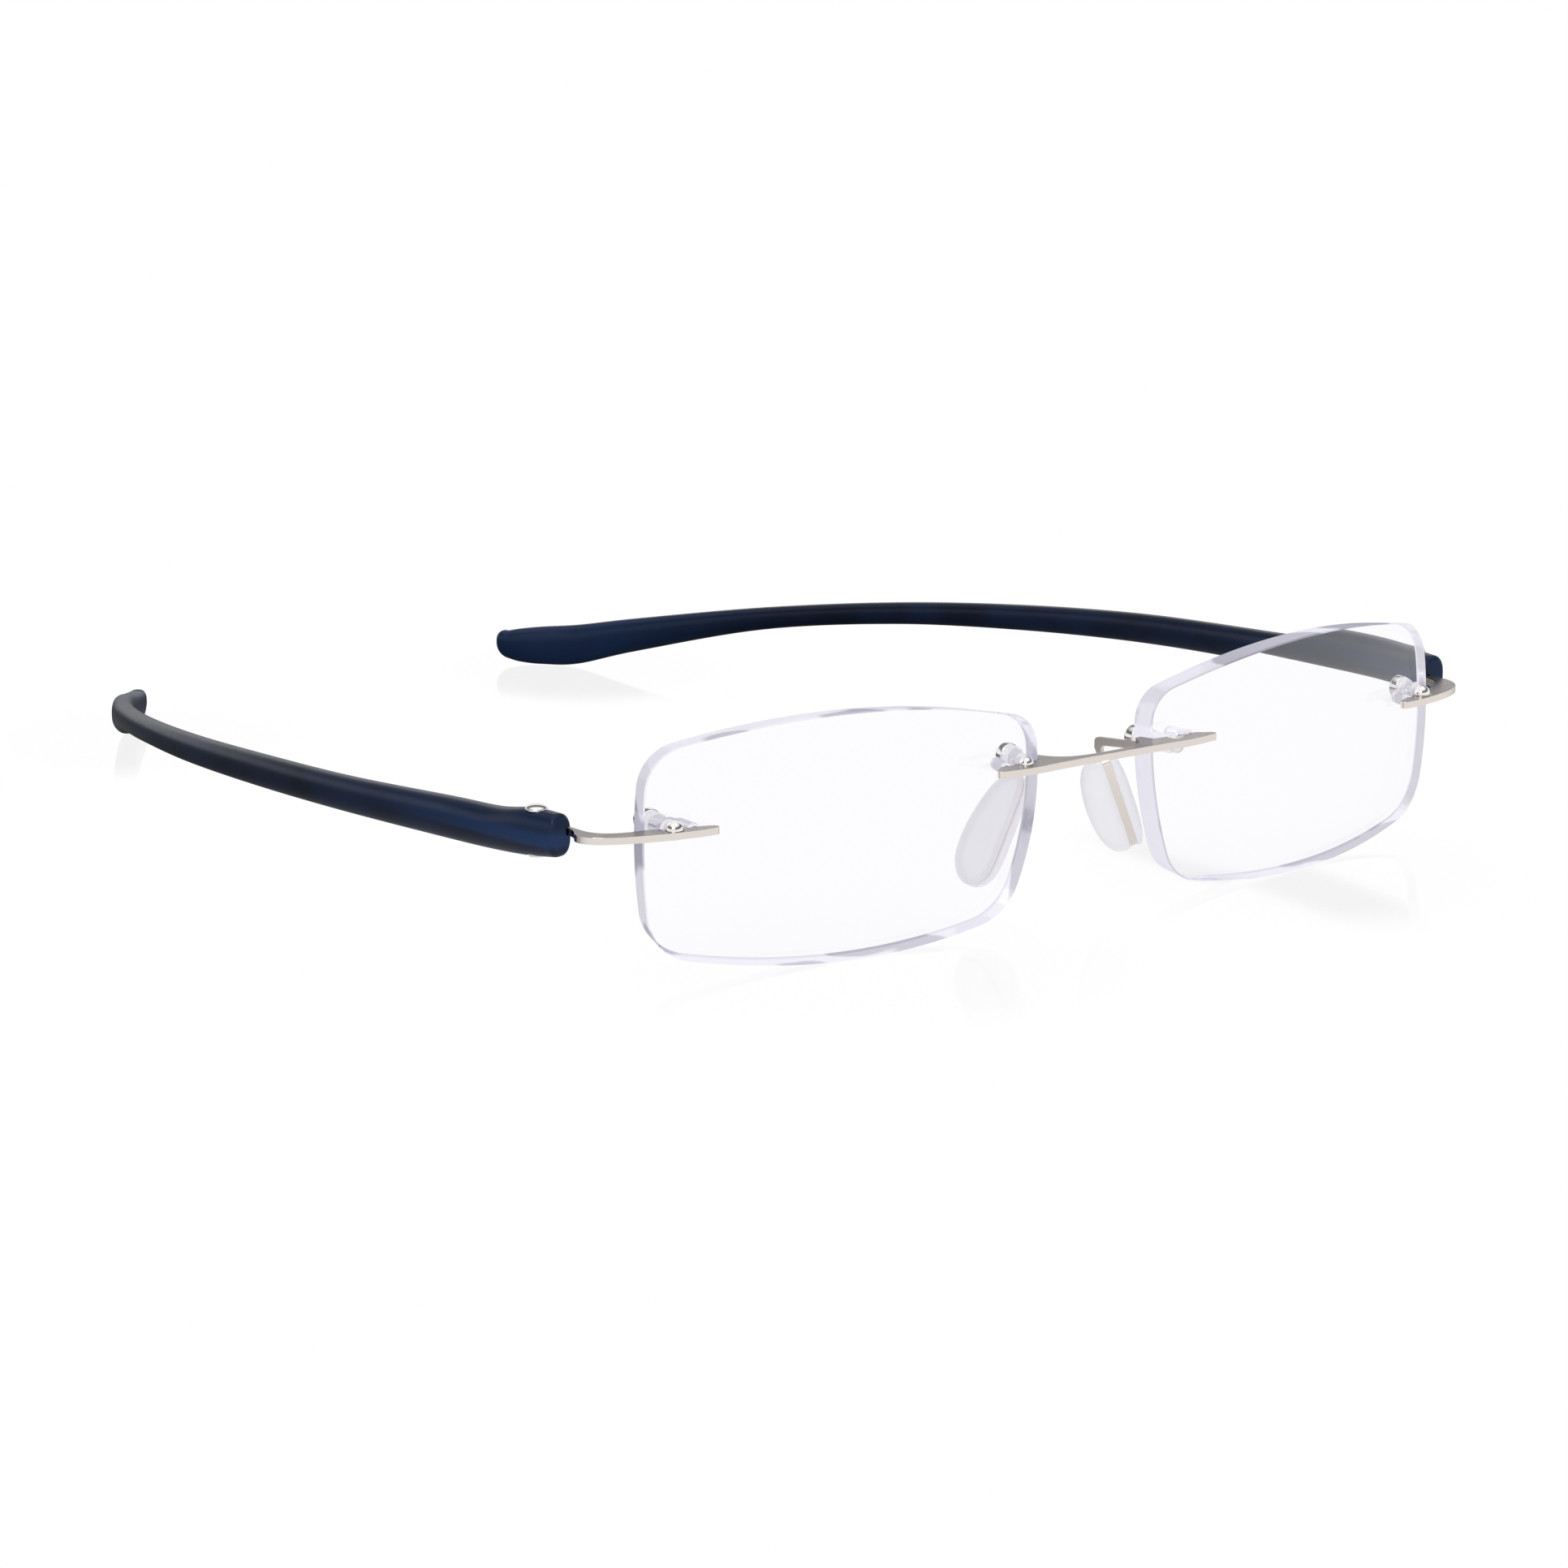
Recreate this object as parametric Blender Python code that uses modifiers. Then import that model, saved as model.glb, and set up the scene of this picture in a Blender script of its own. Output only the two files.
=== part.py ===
"""Rimless eyeglasses with flat metal fittings and two folding plastic temples.

Frame: metres, +Z up, the wearer looks along -Y. The origin is the middle of the bridge
plate's top face. Left and right are the wearer's, so the left side is at +X.
Every size below is in millimetres, measured from a point on the plane of symmetry that is
level with the middle of the lenses, in the plane through the two lens front vertices.
"""

import math

import bmesh
import bpy
from mathutils import Matrix, Vector

MM = 0.001
SIDES = {"left": 1, "right": -1}

# ---------------------------------------------------------------- driving dimensions (mm)
FIT = 0.05                     # gap between pieces that touch
SHEET = 0.80                   # thickness of all plates

LENS_CENTRE_X = 34.2           # optical centre from the plane of symmetry
LENS_WRAP = 7.5                # degrees, temple side turned back
LENS_TILT = 0.5                # degrees, top leaned forward
LENS_FRONT_RADIUS = 113.0
LENS_REAR_RADIUS = 171.0
LENS_CENTRE_THICKNESS = 4.5
# corners of the lens outline before rounding (u towards the temple, v up), with the corner radius
LENS_CORNERS = [(-21.3, -12.0, 3.6), (24.1, -10.9, 4.2), (24.6, 11.4, 4.0), (-25.2, 10.1, 3.2)]
LENS_BULGES = [2.55, 1.10, 3.20, 1.75]      # how far each side bows out: bottom, temple, top, nose

END_PLATE_Z = 3.05             # mid-height of the end plates and of the temple slot
BRIDGE_Z = 5.05                # mid-height of the bridge plate
TEMPORAL_PIN_U = 22.4          # pins and pegs along the lens, from its centre
TEMPORAL_PEG_U = 19.85
NASAL_PIN_U = -22.9
NASAL_PEG_U = -20.35
# the balls sit a little off the middle of their plates, each by its own amount
TEMPORAL_PIN_Z = {1: 3.50, -1: 3.30}
NASAL_PIN_Z = {1: 4.40, -1: 5.35}

TEMPORAL_BALL_RADIUS = 1.12
NASAL_BALL_RADIUS = 0.90
BALL_SEAT = 0.85               # ball centre in front of the lens face
BALL_ROOM = 0.12               # round window in the plate that holds the ball, open to the lens
COUNTERBORE_DEPTH = 0.45       # recess in the lens face behind the ball
SHANK_RADIUS = 0.55
SLEEVE_RADIUS = 1.00
FLANGE_ACROSS_CORNERS = 2.90
FLANGE_THICKNESS = 0.60
CAP_RADIUS = 1.40
CAP_LENGTH = 1.40
PEG_RADIUS = 0.68
PEG_PROUD = 0.35               # peg length standing out of the lens on each face
PRONG_WIDTH = 0.50             # prong of the plate inside the peg
PRONG_LENGTH = 1.20

HINGE_X, HINGE_Y = 66.3, 15.6
EYE_RADIUS = 1.20
RIVET_RADIUS = 0.60
RIVET_HEAD_RADIUS = 1.25
RIVET_HEAD_HEIGHT = 0.60
RIVET_TOP_SEAT = 4.95          # flat under the domed head, before the temple's own lift
RIVET_FOOT_SEAT = 0.25         # flat above the formed foot
RIVET_FOOT_RADIUS = 1.00
WASHER_RADIUS = 1.10
WASHER_THICKNESS = 0.25
SLOT_HEIGHT = SHEET + 4 * FIT

RIBBON_WIDTH = 0.85
RIBBON_THICKNESS = 0.50
PAD_ARM_X = 7.88               # plane of the pad arm
PAD_ARM_TOP = (4.85, 4.25)     # height of its upper edge at the bridge and at the rear corner
PAD_ARM_BACK_Y = 8.40          # rear edge of the arm's vertical leg
PAD_LOOP_FOOT = Vector((11.6, 6.15, -7.7))      # foot of the straight front leg of the loop
PAD_UP = Vector((-0.434, -0.056, 0.899)).normalized()
PAD_SPLAY = 30.0               # degrees, pads opening towards the face
PAD_LIP = 0.25                 # how far the pad stands proud of the ribbon
PAD_MIDDLE = (2.0, 4.3)        # point that the domes shrink towards
# outline scale and height above the middle of the ribbon, towards the nose and towards the lens
PAD_NOSE_DOME = [(0.30, -3.75), (0.55, -3.55), (0.75, -3.10), (0.90, -2.35), (0.98, -1.40)]
PAD_LENS_DOME = [(0.99, 0.90), (0.90, 1.35), (0.70, 1.70), (0.40, 1.90)]

# end plates: inside of the corner from the lens edge to the eye, then the outside back to the strip
CORNER_INSIDE = {1: [(60.5, 6.9), (62.0, 7.7), (62.9, 9.0), (63.3, 10.4), (63.9, 12.2), (64.8, 14.2)],
                 -1: [(60.6, 6.2), (62.4, 6.9), (63.6, 7.9), (64.2, 9.2), (64.3, 10.6), (64.3, 12.1),
                      (64.7, 14.0)]}
CORNER_OUTSIDE = {1: [(66.3, 13.4), (65.2, 12.4), (64.95, 11.3), (65.0, 10.0), (64.9, 8.6),
                      (64.4, 7.1), (63.4, 5.7), (61.9, 4.6), (59.9, 3.7), (57.0, 2.9),
                      (54.0, 2.3)],
                  -1: [(66.3, 13.4), (65.2, 12.4), (64.95, 11.3), (65.3, 10.2), (66.0, 9.1),
                       (66.1, 7.8), (65.2, 6.4), (63.8, 5.4), (62.3, 4.6), (60.1, 3.8),
                       (57.0, 2.9), (54.0, 2.3)]}

# the left temple rides a little higher than the right one near its hinge
TEMPLE_LIFT = {1: 0.55, -1: 0.0}
LIFT_ENDS_Y = 46.0
# the right tip is a little slimmer than the left one
TIP_TRIM = {1: 0.0, -1: 0.8}
TRIM_STARTS_Y = 145.0
# temple sections: distance back (y), x, z of the centre, height, width
TEMPLE_STATIONS = [
    (12.4, 65.9, 2.72, 4.8, 3.2),
    (16.5, 66.4, 2.48, 5.2, 3.8),
    (22.0, 66.9, 1.95, 4.7, 3.7),
    (30.0, 67.6, 1.75, 4.6, 3.4),
    (49.0, 68.4, 1.05, 4.0, 3.0),
    (68.0, 67.4, 0.20, 3.7, 2.9),
    (87.5, 64.2, -1.15, 3.3, 2.8),
    (106.0, 58.8, -2.85, 2.9, 2.7),
    (124.0, 50.8, -5.40, 3.0, 2.7),
    (140.0, 41.3, -9.00, 4.5, 2.9),
    (147.0, 36.4, -10.85, 5.4, 3.0),
    (151.0, 33.2, -11.25, 5.2, 2.9),
    (153.4, 31.2, -11.35, 4.6, 2.8),
    (154.8, 30.0, -11.30, 3.8, 2.5),
]
# rounded ends: station, reach beyond it, flat share of the section, rise towards the tip
TEMPLE_ENDS = [(0, 0.7, 0.74, 0.0), (-1, 1.6, 0.15, 0.4)]

# the origin of the finished object, in the frame that the sizes above are given in
ORIGIN = Vector((0.0, -2.85, BRIDGE_Z + SHEET / 2))


# ---------------------------------------------------------------- scene and helpers
def clear_scene():
    for obj in list(bpy.data.objects):
        bpy.data.objects.remove(obj, do_unlink=True)
    for coll in list(bpy.data.collections):
        bpy.data.collections.remove(coll)


def new_collection(name):
    coll = bpy.data.collections.new(name)
    bpy.context.scene.collection.children.link(coll)
    return coll


def make_material(name, colour, roughness, metallic=0.0, transmission=0.0, ior=1.45):
    mat = bpy.data.materials.new(name)
    mat.use_nodes = True
    bsdf = mat.node_tree.nodes["Principled BSDF"]
    bsdf.inputs["Base Color"].default_value = (*colour, 1.0)
    bsdf.inputs["Roughness"].default_value = roughness
    bsdf.inputs["Metallic"].default_value = metallic
    bsdf.inputs["Transmission Weight"].default_value = transmission
    bsdf.inputs["IOR"].default_value = ior
    mat.diffuse_color = (*colour, 1.0)
    return mat


def link(obj, coll):
    for old in list(obj.users_collection):
        old.objects.unlink(obj)
    coll.objects.link(obj)
    return obj


def object_from_bmesh(bm, name, coll):
    bmesh.ops.recalc_face_normals(bm, faces=bm.faces)
    mesh = bpy.data.meshes.new(name)
    bm.to_mesh(mesh)
    bm.free()
    obj = bpy.data.objects.new(name, mesh)
    return link(obj, coll)


def baked(obj, name, coll, matrix=None):
    """A plain mesh object from any object's evaluated shape, moved by a matrix given in mm."""
    bpy.context.view_layer.update()
    graph = bpy.context.evaluated_depsgraph_get()
    mesh = bpy.data.meshes.new_from_object(obj.evaluated_get(graph))
    place = obj.matrix_world.copy() if matrix is None else matrix @ obj.matrix_world
    bm = bmesh.new()
    bm.from_mesh(mesh)
    bmesh.ops.transform(bm, matrix=place, verts=bm.verts)
    bmesh.ops.remove_doubles(bm, verts=bm.verts, dist=1e-4)
    bpy.data.meshes.remove(mesh)
    bpy.data.objects.remove(obj, do_unlink=True)
    return object_from_bmesh(bm, name, coll)


def combine(target, tool, operation):
    """Cuts or joins the target with the tool, then removes the tool."""
    mod = target.modifiers.new(operation.lower(), "BOOLEAN")
    mod.operation = operation
    mod.solver = "EXACT"
    mod.object = tool
    name = target.name
    coll = target.users_collection[0]
    target.name = name + "_blank"
    result = baked(target, name, coll)
    bpy.data.objects.remove(tool, do_unlink=True)
    return result


def turned(name, profile, coll, matrix, steps=24):
    """Solid of revolution about Z. The profile runs from the top of its outside to the bottom."""
    bm = bmesh.new()
    verts = [bm.verts.new((r, 0.0, z)) for r, z in profile]
    for a, b in zip(verts, verts[1:]):
        bm.edges.new((a, b))
    mesh = bpy.data.meshes.new(name + "_profile")
    bm.to_mesh(mesh)
    bm.free()
    obj = link(bpy.data.objects.new(name + "_profile", mesh), coll)
    screw = obj.modifiers.new("turn", "SCREW")
    screw.axis = "Z"
    screw.steps = steps
    screw.render_steps = steps
    screw.use_merge_vertices = True
    screw.merge_threshold = 1e-5
    return baked(obj, name, coll, matrix)


def sheet(name, outlines, thickness, coll, matrix):
    """Flat sheet in the local XY plane, centred on Z = 0. Outlines after the first are holes."""
    curve = bpy.data.curves.new(name + "_outline", "CURVE")
    curve.dimensions = "2D"
    curve.fill_mode = "BOTH"
    curve.extrude = thickness / 2
    for outline in outlines:
        spline = curve.splines.new("POLY")
        spline.points.add(len(outline) - 1)
        for point, (x, y) in zip(spline.points, outline):
            point.co = (x, y, 0.0, 1.0)
        spline.use_cyclic_u = True
    obj = link(bpy.data.objects.new(name + "_outline", curve), coll)
    return baked(obj, name, coll, matrix)


def cylinder(name, radius, z0, z1, coll, matrix, segments=24):
    bm = bmesh.new()
    bmesh.ops.create_cone(bm, cap_ends=True, segments=segments, radius1=radius, radius2=radius,
                          depth=z1 - z0, matrix=Matrix.Translation((0, 0, (z0 + z1) / 2)))
    bmesh.ops.transform(bm, matrix=matrix, verts=bm.verts)
    return object_from_bmesh(bm, name, coll)


def box(name, low, high, coll, matrix=None):
    bm = bmesh.new()
    bmesh.ops.create_cube(bm, size=1.0)
    low, high = Vector(low), Vector(high)
    size = high - low
    bmesh.ops.scale(bm, vec=size, verts=bm.verts)
    bmesh.ops.translate(bm, vec=(low + high) / 2, verts=bm.verts)
    bmesh.ops.transform(bm, matrix=matrix or Matrix(), verts=bm.verts)
    return object_from_bmesh(bm, name, coll)


def loft(name, rings, coll):
    """Closed solid through rings of equal point count, with flat ends."""
    bm = bmesh.new()
    loops = [[bm.verts.new(p) for p in ring] for ring in rings]
    count = len(loops[0])
    for lower, upper in zip(loops, loops[1:]):
        for i in range(count):
            j = (i + 1) % count
            bm.faces.new((lower[i], lower[j], upper[j], upper[i]))
    bm.faces.new(loops[0][::-1])
    bm.faces.new(loops[-1])
    return object_from_bmesh(bm, name, coll)


def arc(cx, cy, radius, start, end, count):
    """Points on a circle arc, angles in degrees, both ends included."""
    angles = [math.radians(start + (end - start) * i / (count - 1)) for i in range(count)]
    return [(cx + radius * math.cos(a), cy + radius * math.sin(a)) for a in angles]


def smooth_through(points, per_span, closed=False):
    """Catmull-Rom curve through tuples of any length, evenly parametrised."""
    n = len(points)
    spans = n if closed else n - 1
    result = []
    for i in range(spans):
        if closed:
            p0, p1, p2, p3 = (points[(i + k) % n] for k in (-1, 0, 1, 2))
        else:
            p0, p1 = points[max(i - 1, 0)], points[i]
            p2, p3 = points[i + 1], points[min(i + 2, n - 1)]
        for k in range(per_span):
            t = k / per_span
            result.append(tuple(
                0.5 * (2 * b + (c - a) * t + (2 * a - 5 * b + 4 * c - d) * t * t
                       + (3 * b - a - 3 * c + d) * t ** 3)
                for a, b, c, d in zip(p0, p1, p2, p3)))
    if not closed:
        result.append(points[-1])
    return result


def mirrored(points, side):
    return [(side * x, y) for x, y in points]


# ---------------------------------------------------------------- lens frame
def lens_matrix(side):
    """Lens axes: X towards +X, Y up, Z forward, origin at the front vertex."""
    place = Matrix.Translation((side * LENS_CENTRE_X, 0, 0))
    wrap = Matrix.Rotation(math.radians(side * LENS_WRAP), 4, "Z")
    tilt = Matrix.Rotation(math.radians(LENS_TILT), 4, "X")
    stand_up = Matrix.Rotation(math.radians(90), 4, "X")
    return place @ wrap @ tilt @ stand_up


def front_sag(radius_squared):
    return LENS_FRONT_RADIUS - math.sqrt(LENS_FRONT_RADIUS ** 2 - radius_squared)


def rear_sag(radius_squared):
    sag = LENS_REAR_RADIUS - math.sqrt(LENS_REAR_RADIUS ** 2 - radius_squared)
    return LENS_CENTRE_THICKNESS + sag


def lens_point(side, u, v, depth):
    """World point at (u, v) on a lens, a given depth behind the plane of its front vertex."""
    return lens_matrix(side) @ Vector((side * u, v, -depth))


def fitting_v(side, z, u):
    """Height in the lens frame of a world height z."""
    low = lens_point(side, u, 0.0, 0.0).z
    high = lens_point(side, u, 1.0, 0.0).z
    return (z - low) / (high - low)


def fitting_places(side):
    """Plate height, ball height and radius, pin and peg position for a lens's two fittings."""
    return ((END_PLATE_Z, TEMPORAL_PIN_Z[side], TEMPORAL_BALL_RADIUS, TEMPORAL_PIN_U, TEMPORAL_PEG_U),
            (BRIDGE_Z, NASAL_PIN_Z[side], NASAL_BALL_RADIUS, NASAL_PIN_U, NASAL_PEG_U))


def lens_face(side, u, z):
    """Local height of the front surface under a fitting."""
    v = fitting_v(side, z, u)
    return -front_sag(u * u + v * v)


def lens_outline(samples=9):
    """Rounded quadrilateral with bowed sides, as a closed list of (u, v)."""
    sides = []
    for i in range(4):
        u0, v0, r0 = LENS_CORNERS[i]
        u1, v1, r1 = LENS_CORNERS[(i + 1) % 4]
        length = math.hypot(u1 - u0, v1 - v0)
        nu, nv = (v1 - v0) / length, -(u1 - u0) / length
        points = []
        for k in range(samples):
            t = (r0 + (length - r0 - r1) * k / (samples - 1)) / length
            bow = 4 * t * (1 - t) * LENS_BULGES[i]
            points.append((u0 + (u1 - u0) * t + nu * bow, v0 + (v1 - v0) * t + nv * bow))
        sides.append(points)
    outline = []
    for i in range(4):
        here, ahead = sides[i], sides[(i + 1) % 4]
        outline += here
        outline += corner_blend(here[-2], here[-1], ahead[0], ahead[1])
    return outline


def corner_blend(before, start, end, after, count=5):
    """Rounds from start to end, leaving along before-start and arriving along end-after."""
    span = math.hypot(end[0] - start[0], end[1] - start[1])
    leave = Vector(start) - Vector(before)
    arrive = Vector(after) - Vector(end)
    turn = leave.angle(arrive)
    handle = span / (2 * math.sin(turn / 2)) * 4 / 3 * math.tan(turn / 4)
    a = Vector(start) + leave.normalized() * handle
    b = Vector(end) - arrive.normalized() * handle
    points = []
    for k in range(1, count + 1):
        t = k / (count + 1)
        p = (1 - t) ** 3 * Vector(start) + 3 * (1 - t) ** 2 * t * a
        p += 3 * (1 - t) * t * t * b + t ** 3 * Vector(end)
        points.append(tuple(p))
    return points


def build_lens(name, side, coll):
    blank_radius = 31.0
    rings = 5
    radii = [blank_radius * (i / rings) for i in range(rings + 1)]
    front = [(r, -front_sag(r * r)) for r in radii]
    rear = [(r, -rear_sag(r * r)) for r in reversed(radii)]
    lens = turned(name, front + rear, coll, Matrix(), steps=48)
    # the polished edge stands square to the front surface, so it narrows towards its centre
    centre = Vector((0, 0, -LENS_FRONT_RADIUS))
    walls = []
    for reach in (2.0, -9.0):
        ring = []
        for u, v in lens_outline():
            on_face = Vector((side * u, v, -front_sag(u * u + v * v)))
            ring.append(on_face + (on_face - centre).normalized() * reach)
        walls.append(ring)
    lens = combine(lens, loft(name + "_edge", walls, coll), "INTERSECT")
    for z, ball_z, ball, pin_u, peg_u in fitting_places(side):
        pin = Matrix.Translation((side * pin_u, fitting_v(side, ball_z, pin_u), 0))
        peg = Matrix.Translation((side * peg_u, fitting_v(side, z, peg_u), 0))
        face = lens_face(side, pin_u, ball_z)
        holes = ((SLEEVE_RADIUS + FIT, -15, pin), (PEG_RADIUS + FIT, -15, peg),
                 (ball + 3 * FIT, face - COUNTERBORE_DEPTH, pin))
        for radius, depth, place in holes:
            hole = cylinder(name + "_hole", radius, depth, 5, coll, place)
            lens = combine(lens, hole, "DIFFERENCE")
    return baked(lens, name, coll, lens_matrix(side))


# ---------------------------------------------------------------- lens fittings
def fitting_frame(side, u, z):
    """Axes of a pin or peg: origin on the lens front at (u, z), Z pointing forward."""
    spot = (side * u, fitting_v(side, z, u), lens_face(side, u, z))
    return lens_matrix(side) @ Matrix.Translation(spot)


def lens_depth(side, u, z):
    """Lens thickness along a fitting's axis, up to where a flat flange first touches."""
    v = fitting_v(side, z, u)
    r2 = u * u + v * v
    flange_lift = FLANGE_ACROSS_CORNERS / 2 * math.sqrt(r2) / LENS_REAR_RADIUS
    return rear_sag(r2) - front_sag(r2) + flange_lift


def build_pin(name, side, u, z, ball_radius, coll):
    depth = lens_depth(side, u, z)
    neck = math.sqrt(ball_radius ** 2 - SHANK_RADIUS ** 2)
    below = -math.degrees(math.atan2(neck, SHANK_RADIUS))
    ball = arc(0, BALL_SEAT, ball_radius, 90, below, 9)
    end = -(depth + FIT + FLANGE_THICKNESS + CAP_LENGTH * 0.6)
    profile = [(max(r, 0.0), h) for r, h in ball] + [(SHANK_RADIUS, end), (0.0, end)]
    profile[0] = (0.0, profile[0][1])
    return turned(name, profile, coll, fitting_frame(side, u, z), steps=16)


def build_sleeve(name, side, u, z, coll):
    depth = lens_depth(side, u, z)
    face = -(depth + FIT)
    back = face - FLANGE_THICKNESS
    place = fitting_frame(side, u, z)
    front = -(COUNTERBORE_DEPTH + FIT)
    body = cylinder(name, SLEEVE_RADIUS, (face + back) / 2, front, coll, place)
    bm = bmesh.new()
    bmesh.ops.create_cone(bm, cap_ends=True, segments=6, radius1=FLANGE_ACROSS_CORNERS / 2,
                          radius2=FLANGE_ACROSS_CORNERS / 2, depth=FLANGE_THICKNESS,
                          matrix=Matrix.Translation((0, 0, (face + back) / 2)))
    bmesh.ops.transform(bm, matrix=place, verts=bm.verts)
    body = combine(body, object_from_bmesh(bm, name + "_flange", coll), "UNION")
    bore = cylinder(name + "_bore", SHANK_RADIUS + FIT, back - 1, 1, coll, place, segments=16)
    return combine(body, bore, "DIFFERENCE")


def build_cap(name, side, u, z, coll):
    mouth = -(lens_depth(side, u, z) + 2 * FIT + FLANGE_THICKNESS)
    end = mouth - CAP_LENGTH
    bore_end = mouth - CAP_LENGTH * 0.7
    bore = SHANK_RADIUS + FIT
    edge = 0.25
    profile = [(bore, mouth), (CAP_RADIUS - edge, mouth), (CAP_RADIUS, mouth - edge),
               (CAP_RADIUS, end + edge * 2), (CAP_RADIUS - edge * 2, end), (0.0, end)]
    inner = [(0.0, bore_end), (bore, bore_end)]
    return turned(name, inner + profile, coll, fitting_frame(side, u, z), steps=20)


def build_peg(name, side, u, z, coll):
    depth = lens_depth(side, u, z)
    edge = 0.12
    top, bottom = PEG_PROUD, -(depth + PEG_PROUD)
    profile = [(0.0, top), (PEG_RADIUS - edge, top), (PEG_RADIUS, top - edge),
               (PEG_RADIUS, bottom + edge), (PEG_RADIUS - edge, bottom), (0.0, bottom)]
    place = fitting_frame(side, u, z)
    peg = turned(name, profile, coll, place, steps=16)
    half = PRONG_WIDTH / 2 + FIT
    tip = PEG_PROUD + FIT - PRONG_LENGTH
    slot = box(name + "_slot", (-half, -SHEET / 2 - FIT, tip), (half, SHEET / 2 + FIT, 2.0),
               coll, place)
    return combine(peg, slot, "DIFFERENCE")


# ---------------------------------------------------------------- plates
def plan(side, u, z, ahead, across=0.0):
    """Plan position (|x|, y) ahead of the lens face at u, offset across its axis."""
    point = fitting_frame(side, u, z) @ Vector((side * across, 0, ahead))
    return (side * point.x, point.y)


def window(u, z, ball_radius, count=15):
    """Rear outline of a plate at a ball: round bay open to the lens, from the nose side outwards."""
    gap = 3 * FIT
    bay = ball_radius + BALL_ROOM
    rear = math.asin((BALL_SEAT - gap) / bay)
    points = []
    for i in range(count):
        a = math.pi + rear - (math.pi + 2 * rear) * i / (count - 1)
        ahead = BALL_SEAT + bay * math.sin(a)
        points.append(plan(1, u, z, ahead, bay * math.cos(a)))
    return points


def prong(u, z):
    """Rear outline of a plate at a peg: a short prong that enters it, from the nose side outwards."""
    half = PRONG_WIDTH / 2
    wide = PEG_RADIUS + 2 * FIT
    root = PEG_PROUD + 2 * FIT
    tip = root - PRONG_LENGTH
    corners = [(root, -wide), (root, -half), (tip, -half), (tip, half), (root, half), (root, wide)]
    return [plan(1, u, z, ahead, across) for ahead, across in corners]


def build_end_plate(name, side, coll):
    """L-shaped sheet: in front of the lens, round the corner and back to the hinge eye."""
    rear = prong(TEMPORAL_PEG_U, END_PLATE_Z)
    rear += window(TEMPORAL_PIN_U, END_PLATE_Z, TEMPORAL_BALL_RADIUS)
    rear += [plan(1, u, END_PLATE_Z, 4 * FIT) for u in (24.0, 25.3)]
    rear += smooth_through(CORNER_INSIDE[side], 2)
    eye = arc(HINGE_X, HINGE_Y, EYE_RADIUS, 190, -15, 14)
    front = smooth_through(CORNER_OUTSIDE[side], 2)
    tip = arc(52.0, 2.75, 0.55, -100, -235, 6)
    outline = rear + eye + front + tip
    hole = arc(HINGE_X, HINGE_Y, RIVET_RADIUS + FIT, 0, 342, 20)
    place = Matrix.Translation((0, 0, END_PLATE_Z))
    outlines = [mirrored(outline, side), mirrored(hole, side)]
    return sheet(name, outlines, SHEET, coll, place)


def build_bridge(name, coll):
    """Straight sheet between the lenses, with a keyhole, a prong and a shoulder on each side."""
    half = [(0.0, -2.30), (2.5, -2.25), (4.6, -1.85), (6.1, -1.0), (6.9, 0.1), (7.3, 1.0),
            (8.1, 1.0), (8.35, 0.0), (8.6, -0.75)]
    half += window(NASAL_PIN_U, BRIDGE_Z, NASAL_BALL_RADIUS) + prong(NASAL_PEG_U, BRIDGE_Z)
    half += arc(15.75, -2.55, 0.55, 80, -100, 7)
    half += [(13.6, -3.45), (11.1, -3.60), (8.3, -3.45), (4.0, -3.35)]
    other = [(-x, y) for x, y in reversed(half[1:])]
    outline = half + [(0.0, -3.35)] + other
    return sheet(name, [outline], SHEET, coll, Matrix.Translation((0, 0, BRIDGE_Z)))


# ---------------------------------------------------------------- nose pads
def pad_axes(side):
    """Pad loop axes as columns: along the width (backwards), up, and out from the nose."""
    splay = math.radians(PAD_SPLAY)
    back = Vector((math.sin(splay), math.cos(splay), 0))
    back = (back - back.dot(PAD_UP) * PAD_UP).normalized()
    out = back.cross(PAD_UP)
    axes = Matrix((back, PAD_UP, out)).transposed().to_4x4()
    axes.translation = PAD_LOOP_FOOT
    return Matrix.Diagonal((side, 1, 1, 1)) @ axes


def pad_loop(offset, samples=3):
    """Closed D-shaped outline of the loop: straight in front, bowed behind, grown by an offset."""
    knots = [(0.0, 0.6), (0.0, 4.8), (0.05, 9.0), (0.6, 10.5), (1.8, 10.5), (2.9, 9.2),
             (3.8, 6.6), (4.35, 3.2), (4.2, 0.2), (3.2, -1.6), (1.8, -2.2), (0.5, -1.3)]
    points = smooth_through(knots, samples, closed=True)
    count = len(points)
    grown = []
    for i, (x, y) in enumerate(points):
        ahead, behind = points[(i + 1) % count], points[i - 1]
        along = Vector((ahead[0] - behind[0], ahead[1] - behind[1])).normalized()
        grown.append((x - along.y * offset, y + along.x * offset))
    return grown


def build_pad_arm(name, side, coll):
    """Flat strip back from the bridge, down, and round the pad in a closed loop."""
    loop = sheet(name, [pad_loop(0.0), pad_loop(-RIBBON_THICKNESS)], RIBBON_WIDTH, coll,
                 pad_axes(side))
    root, rear = PAD_ARM_TOP
    front, back, leg = 1.0 + FIT, PAD_ARM_BACK_Y, 1.15
    foot = 2.05
    elbow = [(front, root - RIBBON_WIDTH), (back - leg, rear - RIBBON_WIDTH), (back - leg, foot),
             (back - leg / 2, foot), (back, foot + 0.9), (back, rear - 0.6), (back - 0.6, rear),
             (front, root)]
    across = Matrix(((0, 0, 1, side * PAD_ARM_X), (1, 0, 0, 0), (0, 1, 0, 0), (0, 0, 0, 1)))
    strip = sheet(name + "_strip", [elbow], RIBBON_THICKNESS, coll, across)
    return combine(loop, strip, "UNION")


def pad_dome(scale):
    """Outline of the loop shrunk towards the middle of the pad."""
    middle = Vector(PAD_MIDDLE)
    return [tuple(middle + (Vector(p) - middle) * scale) for p in pad_loop(PAD_LIP)]


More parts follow.
